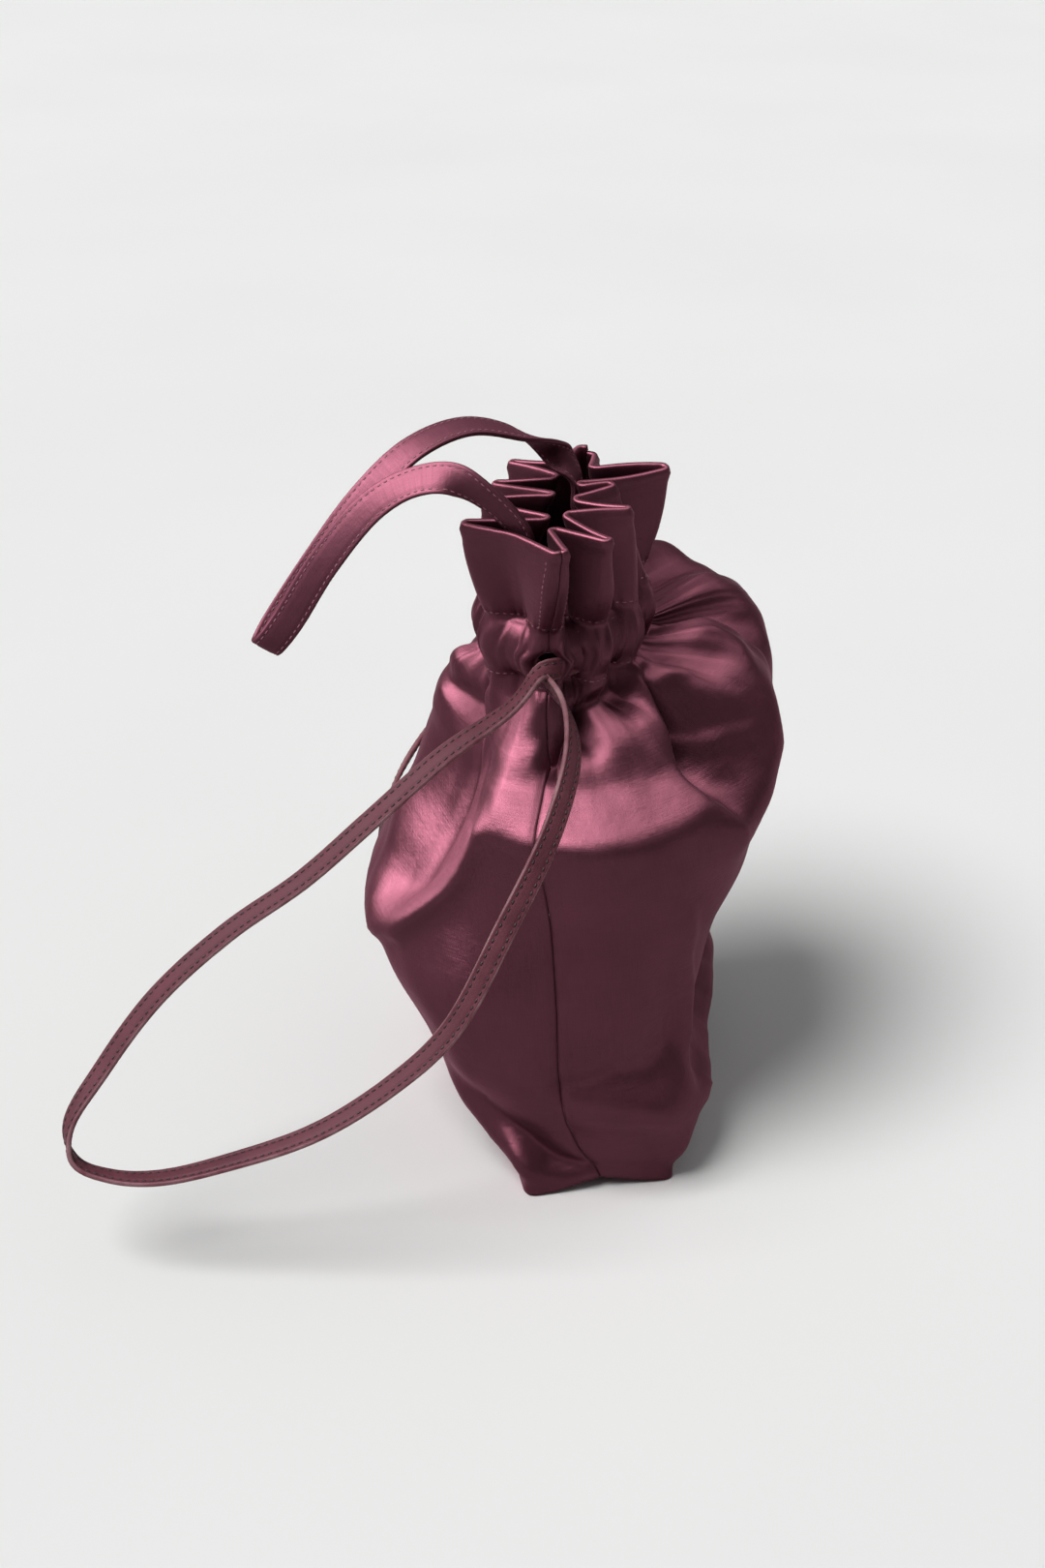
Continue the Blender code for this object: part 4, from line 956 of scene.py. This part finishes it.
def quads(high, wide, closed):
    """Rows and columns of a grid's quads, the columns beside them, and the quads' corners."""
    i, j = np.meshgrid(np.arange(high - 1), np.arange(wide if closed else wide - 1), indexing="ij")
    k = (j + 1) % wide
    corners = np.stack([i * wide + j, i * wide + k, (i + 1) * wide + k, (i + 1) * wide + j], -1)
    return i, j, k, corners.reshape(-1, 4)


def grid_mesh(name, rows, places, materials, closed_across=False, pick=None):
    """Quads over a grid of points, with the cloth's places as its UVs."""
    rows = np.asarray(rows)
    high, wide = rows.shape[:2]
    i, j, k, faces = quads(high, wide, closed_across)
    mesh = bpy.data.meshes.new(name)
    mesh.from_pydata(rows.reshape(-1, 3).tolist(), [], faces.tolist())
    layer = mesh.uv_layers.new(name="cloth")
    across, along = places
    if closed_across:
        across = np.append(across, across[0] + (across[-1] - across[0]) * wide / (wide - 1))
        k = j + 1
    corners_u = np.stack([across[j], across[k], across[k], across[j]], -1).reshape(-1)
    if along.ndim == 1:
        along = np.repeat(along[:, None], wide + 1, axis=1)
    corners_v = np.stack([along[i, j], along[i, k], along[i + 1, k], along[i + 1, j]], -1).reshape(-1)
    layer.data.foreach_set("uv", np.stack([corners_u, corners_v], -1).reshape(-1))
    for material in materials:
        mesh.materials.append(material)
    if pick is not None:
        mesh.polygons.foreach_set("material_index", pick(i, j).reshape(-1).astype(np.int32))
    mesh.shade_smooth()
    mesh.update()
    return placed(name, mesh)


def dress(obj, slot, *nodes):
    """Sets a piece on the body in place of these CAD nodes; its slot is not used."""
    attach(obj, "root")
    if nodes:
        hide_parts(*nodes)
    return obj


def stitches(name, rows, sunk, length, width, material, slot):
    """Rows of sewn stitches, each a small rounded bead of thread, as one mesh."""
    centres, ways, normals = (np.concatenate(part) for part in zip(*rows))
    centres = centres - normals * sunk
    sides = 6
    ring = 2 * math.pi * np.arange(sides) / sides
    profile = (
        (-0.5, 0.30, -0.35), (-0.30, 0.92, 0.10), (0.0, 1.0, 0.22), (0.30, 0.92, 0.10), (0.5, 0.30, -0.35),
    )
    across = np.cross(normals, ways)
    points = []
    for share, size, lift in profile:
        spine = centres + ways * length * share + normals * width * lift
        for angle in ring:
            side = across * math.cos(angle) * width / 2 + normals * math.sin(angle) * width * 0.40
            points.append(spine + side * size)
    points = np.stack(points, 1)
    per = points.shape[1]
    faces = quads(len(profile), sides, True)[-1]
    caps = np.array([list(range(sides))[::-1], list(range(per - sides, per))])
    starts = np.arange(len(centres)) * per
    walls = (faces[None] + starts[:, None, None]).reshape(-1, 4)
    ends = (caps[None] + starts[:, None, None]).reshape(-1, sides)
    mesh = bpy.data.meshes.new(name)
    mesh.from_pydata(points.reshape(-1, 3).tolist(), [], walls.tolist() + ends.tolist())
    mesh.materials.append(material)
    mesh.shade_smooth()
    mesh.update()
    return dress(placed(name, mesh), slot)


def along_path(points, normals, pitch, start=0.0, end=0.0):
    """Evenly spaced spots along a path, with their way and normal."""
    walked = walk(points)
    stops = np.arange(start + pitch / 2, walked[-1] - end - pitch / 2, pitch)
    ways = unit(read(points, walked, stops + pitch * 0.3) - read(points, walked, stops - pitch * 0.3))
    return read(points, walked, stops), ways, square_to(ways, read(normals, walked, stops))


# Camera, floor and light

def camera():
    data = bpy.data.cameras.new("camera")
    data.lens = CAMERA_LENS
    data.sensor_width = 36.0
    data.clip_start = 0.01
    data.clip_end = 50.0
    obj = placed("camera", data)
    away = unit(np.array(CAMERA_LOOK) - np.array(CAMERA_SPOT))
    right = unit(np.cross(away, (0, 0, 1)))
    up = np.cross(right, away)
    matrix = np.eye(4)
    matrix[:3, 0] = right
    matrix[:3, 1] = up
    matrix[:3, 2] = -away
    matrix[:3, 3] = CAMERA_SPOT
    obj.matrix_world = Matrix(matrix.tolist())
    bpy.context.scene.camera = obj


def floor():
    mesh = bpy.data.meshes.new("floor")
    corners = [(x * FLOOR_REACH, y * FLOOR_REACH, 0) for x, y in ((-1, -1), (1, -1), (1, 1), (-1, 1))]
    mesh.from_pydata(corners, [], [(0, 1, 2, 3)])
    mesh.materials.append(paper_floor("floor_paper"))
    obj = placed("floor", mesh)


def soft_light(name, spot, breadth, strength, matt):
    data = bpy.data.lights.new(name, "SUN")
    data.angle = math.radians(breadth)
    data.energy = strength
    obj = placed(name, data)
    obj.location = spot
    obj.rotation_euler = Vector(spot).to_track_quat("Z", "Y").to_euler()
    obj.visible_diffuse = matt


def lights():
    world = bpy.data.worlds.new("studio")
    world.use_nodes = True
    sky = world.node_tree.nodes["Background"]
    sky.inputs["Color"].default_value = (0.96, 0.98, 1.0, 1.0)
    sky.inputs["Strength"].default_value = WORLD_LIGHT
    bpy.context.scene.world = world
    bpy.context.scene.view_settings.view_transform = "Standard"
    for light in LIGHTS:
        soft_light(*light)


# Straps

def smooth_route(points, normals, step):
    """Points, ways and normals along a smooth curve through the given ones."""
    points = np.asarray(points, float)
    normals = np.asarray(normals, float)
    chord = np.sqrt(np.linalg.norm(np.diff(points, axis=0), axis=1))
    knot = np.concatenate([[0], np.cumsum(chord)])
    fine = np.linspace(0, knot[-1], ROUTE_POINTS)
    curve = softened(np.column_stack([hermite(fine, knot, column) for column in points.T]), ROUTE_SOFT)
    facing = softened(np.column_stack([hermite(fine, knot, column) for column in normals.T]), FACING_SOFT)
    walked = walk(curve)
    stops = np.linspace(0, walked[-1], max(4, round(walked[-1] / step)) + 1)
    centre = read(curve, walked, stops)
    tangent = unit(np.gradient(centre, axis=0))
    return centre, tangent, square_to(tangent, read(facing, walked, stops))


def softened(line, reach):
    """A line averaged over this many points to each side, with its ends held."""
    window = np.hanning(2 * reach + 3)[1:-1]
    window /= window.sum()
    padded = np.pad(line, ((reach, reach), (0, 0)), mode="reflect", reflect_type="odd")
    return np.column_stack([np.convolve(column, window, "valid") for column in padded.T])


def strap(name, centre, tangent, facing, profile, materials, edge_from):
    """A closed profile of (across, out) points carried along a route, with a second material
    on the edges, which begin at edge_from."""
    across = np.cross(tangent, facing)
    rows = np.stack([centre + across * a + facing * b for a, b in profile], axis=1)
    profile = np.array(profile)
    middle = (profile + np.roll(profile, -1, axis=0)) / 2
    edge = np.abs(middle[:, 0]) > edge_from
    obj = grid_mesh(name, rows, (walk(profile), walk(centre)), materials, True, lambda i, j: edge[j])
    mesh = obj.data
    count = len(profile)
    caps = bpy.data.meshes.new(name + "_ends")
    points = [tuple(p) for p in rows[0]] + [tuple(p) for p in rows[-1]]
    caps.from_pydata(points, [], [tuple(range(count))[::-1], tuple(range(count, 2 * count))])
    joined = bmesh.new()
    joined.from_mesh(mesh)
    joined.from_mesh(caps)
    bmesh.ops.remove_doubles(joined, verts=joined.verts, dist=1e-6)
    joined.to_mesh(mesh)
    joined.free()
    bpy.data.meshes.remove(caps)
    mesh.shade_smooth()
    return obj


def strap_profile(width, thickness, furrow_at, furrow, crown, side_furrow=0.0):
    """Half-round edges, and a furrow pressed in along each row of stitches."""
    half = width / 2
    edge = thickness / 2
    face = [(-half + edge * 0.55) + (width - edge * 1.1) * k / 14 for k in range(15)]
    top = []
    for x in face:
        out = edge + crown * (1 - (x / half) ** 2)
        out -= furrow * sum(math.exp(-(((x - at) / FURROW_BREADTH) ** 2)) for at in (furrow_at, -furrow_at))
        top.append((x, out))
    right = [(half - edge * 0.15, edge * 0.72), (half, edge * 0.30), (half - side_furrow, 0.0),
             (half, -edge * 0.30), (half - edge * 0.15, -edge * 0.72)]
    bottom = [(x, -out) for x, out in top[::-1]]
    left = [(-x, -out) for x, out in right]
    return top + right + bottom + left


def string_route(seam, level, loop, loop_facing):
    """Route of a drawstring: round the casing, out of one side and back."""
    middle = float(neck_share(np.array([0.0 if seam == "near" else PANEL_WIDTH]))[0])
    (exit_point,), (exit_normal,) = neck_ring(np.array([middle]))
    exit_along = np.array([-exit_normal[1], exit_normal[0]])
    shares = np.linspace(NECK_AROUND / 2 - STRING_END_GAP, STRING_TURN_IN, 15) / NECK_AROUND
    points = []
    normals = []

    def in_casing(share, face):
        point, normal = neck_ring(np.array([middle + share]))
        points.append((*point[0], level))
        normals.append((*(normal[0] * face), 0.0))

    def past_opening(table, side):
        for away, out, up, outwards, aside, upwards in table:
            points.append((*(exit_point + exit_along * away * side + exit_normal * out), level + up))
            normals.append((*(exit_normal * outwards - exit_along * aside), upwards))

    for share in shares:
        in_casing(share, 1)
    past_opening(STRING_CROSSING, 1)
    points += list(np.array(loop) / 1000)
    normals += list(np.array(loop_facing) / -100)
    past_opening(STRING_LEAVING, -1)
    for share in shares[::-1]:
        in_casing(-share, -1)
    return points, normals


def strap_stitches(name, route, pitch, at, out, ends, *bead):
    """Stitches along both edges of a strap, on both of its faces."""
    centre, tangent, facing = route
    across = np.cross(tangent, facing)
    rows = [
        along_path(centre + across * way * at + facing * face * out, facing * face, pitch, ends, ends)
        for face in (1, -1) for way in (1, -1)
    ]
    return stitches(name, rows, *bead)


def drawstring(name, node, seam, level, loop, loop_facing, materials, seam_thread):
    """Flat leather string with two rows of stitches on each face."""
    route = centre, tangent, facing = smooth_route(*string_route(seam, level, loop, loop_facing), STRING_STEP)
    profile = strap_profile(STRING_WIDTH, STRING_SHOWN, STRING_STITCH_AT, *STRING_FORM)
    obj = strap(name, centre, tangent, facing, profile, materials, STRING_WIDTH / 2 - 0.00035)
    dress(obj, "leather", node)
    length = float(np.linalg.norm(np.diff(centre, axis=0), axis=1).sum())
    tunnel = 0.5 * NECK_AROUND - 0.006
    sewn = strap_stitches(name + "_stitches", route, STRING_PITCH, STRING_STITCH_AT, STRING_SHOWN / 2, tunnel,
                          *STRING_BEAD, seam_thread, "leather")
    return length


def inside_header(run, share, inwards):
    """Point inwards of the header's inner layer, with its inward normal."""
    near = header_row(np.array([run - 0.002, run, run + 0.002]), share, 0)
    way = near[2, :2] - near[0, :2]
    way /= np.linalg.norm(way)
    spot = near[1, :2] + np.array([-way[1], way[0]]) * (LAYER_STEP / 2 + inwards)
    return (*spot, CASING_TOP + HEADER_HEIGHT * share), (-way[1], way[0], 0.0)


def inside_wall(run, z_share, clearance):
    """Point inwards of the casing's gathered inner layer, with its inward normal."""
    point, normal = neck_ring(neck_share(np.array([run])))
    deepest = max(PLEAT_DEPTH_AT_STITCHES + LAYER_STEP / 2, TUNNEL_HALF + PUFF_IN * 0.7)
    sag = HANDLE_WIDTH ** 2 / 8 / (NECK_WIDTH ** 2 / NECK_LENGTH)
    z = NECK_HEIGHT + (CASING_TOP - NECK_HEIGHT) * z_share
    spot = point[0] - normal[0] * (deepest + sag + clearance)
    return (*spot, z), (*-normal[0], 0.0)


def handle_route():
    """The handle's route with both ends laid on the inner layer of the casing."""
    off = CLOTH / 2 + HANDLE_THICKNESS / 2 + GAP
    far_run = float(fold_middles(1)[HANDLE_FAR_FOLD])
    near_run = -float(fold_middles(-1)[HANDLE_NEAR_FOLD])
    spots = [inside_wall(far_run, share, off) for share in (0.35, 0.95)]
    spots += list(zip(np.array(HANDLE_ROUTE) / 1000, np.array(HANDLE_FACING) / 100))
    spots += [inside_header(near_run, share, off + HANDLE_PLAY * (2 - share)) for share in (1.0, 0.6, 0.3)]
    spots += [inside_wall(near_run, share, off) for share in (1.0, 0.35)]
    return [spot for spot, _ in spots], [normal for _, normal in spots]


def handle(materials, seam_thread):
    """Folded satin strap, stitched along both edges."""
    route = smooth_route(*handle_route(), HANDLE_STEP)
    profile = strap_profile(HANDLE_WIDTH, HANDLE_SHOWN, HANDLE_STITCH_AT, *HANDLE_FORM)
    obj = strap("handle", *route, profile, materials, HANDLE_WIDTH)
    dress(obj, "satin", "handle_strap")
    strap_stitches("handle_stitches", route, HANDLE_PITCH, HANDLE_STITCH_AT, HANDLE_SHOWN / 2,
                   HANDLE_UNSEWN_END, *HANDLE_BEAD, seam_thread, "satin")


# Panels and base

def panel(name, node, side, material):
    """One satin panel from the foot over the top and down inside; side +1 is the front."""
    count = round(PANEL_WIDTH / COLUMN_STEP)
    run = np.sort(np.linspace(0, PANEL_WIDTH, count + 1) * side)
    beyond = COLUMN_STEP
    wide = np.concatenate([[run[0] - beyond], run, [run[-1] + beyond]])
    rows = np.array([row[1:-1] for row in panel_rows(wide)])
    for end, beside in ((0, 1), (-1, -2)):
        rows[:, end] += unit(rows[:, beside] - rows[:, end]) * GAP / 2
    obj = grid_mesh(name, rows, (run, walk(rows[:, count // 2])), [material])
    thickened(obj, CLOTH_SHOWN)
    dress(obj, "satin", node)
    return rows


def panel_stitches(name, rows, seam_thread):
    """Thread along both edges of the casing, and up the header beside each side seam."""
    normals = unit(np.cross(np.gradient(rows, axis=1), np.gradient(rows, axis=0)))
    low = BODY_ROWS - 1
    high = low + CASING_ROWS - 1
    made = []
    for row in (low, high + 1):
        line = rows[row] + normals[row] * CLOTH_SHOWN / 2
        made.append(along_path(line, normals[row], SATIN_PITCH))
    near_column = round(HEM_STITCH_AT / COLUMN_STEP)
    far_column = rows.shape[1] - 1 - near_column
    hem_rows = slice(high + 1, high + HEADER_ROWS - 1)
    for column in (near_column, far_column):
        line = rows[hem_rows, column] + normals[hem_rows, column] * CLOTH_SHOWN / 2
        made.append(along_path(line, normals[hem_rows, column], SATIN_PITCH))
    stitches(name, made, *SATIN_BEAD, seam_thread, "satin")


def base(material):
    """The flat base, which rises with the panels' foot at the two side seams."""
    count = 420
    run = np.linspace(-PANEL_WIDTH, PANEL_WIDTH, count + 1)[:-1]
    foot = body_row(run, 0.0)
    centre = foot.mean(axis=0) * (1, 1, 0)
    rings = []
    for share in np.linspace(0.998, 0.02, 26):
        ring = centre + (foot - centre) * (share, share, 0)
        rise = foot_arch(run) * max(0.0, 1 - (1 - share) * 5.5) ** 2
        ring[:, 2] = GAP + 0.0002 + rise + 0.00012 * ripples(ring[:, 0], ring[:, 1], (0.02, 0.05), 71)
        rings.append(ring)
    rows = np.array(rings)
    obj = grid_mesh("base", rows, (rows[0, :, 0], np.linspace(0, 0.08, len(rows))), [material], True)
    thickened(obj, BASE_SHOWN)
    dress(obj, "base_satin", "base_panel")


def main():
    camera()
    satin_cloth = satin("satin_cloth")
    # The handle's satin is the body's satin darkened all over: painted shade
    satin_strap_painted_shade = satin("satin_strap_painted_shade", SATIN_DEEP, STRAP_DEEP_PAINTED_SHADE, roughness=0.58, streak=0.20)
    satin_base = satin("satin_base", roughness=0.50)
    string_leather = leather("string_leather")
    string_edge = leather("string_edge", LEATHER_EDGE, LEATHER, 0.55)
    string_thread = thread("string_thread", LEATHER_THREAD)
    cloth_thread = thread("cloth_thread", SATIN_THREAD)
    leathers = [string_leather, string_edge]
    drawstring("left_string", "drawstring_left", "near", LOW_STRING, NEAR_LOOP, NEAR_LOOP_FACING,
               leathers, string_thread)
    drawstring("right_string", "drawstring_right", "far", HIGH_STRING, FAR_LOOP, FAR_LOOP_FACING,
               leathers, string_thread)
    floor()
    lights()
    for side, name in ((1, "front"), (-1, "back")):
        rows = panel(name + "_cloth", name + "_panel", side, satin_cloth)
        panel_stitches(name + "_stitches", rows, cloth_thread)
    base(satin_base)
    handle([satin_strap_painted_shade], cloth_thread)


main()
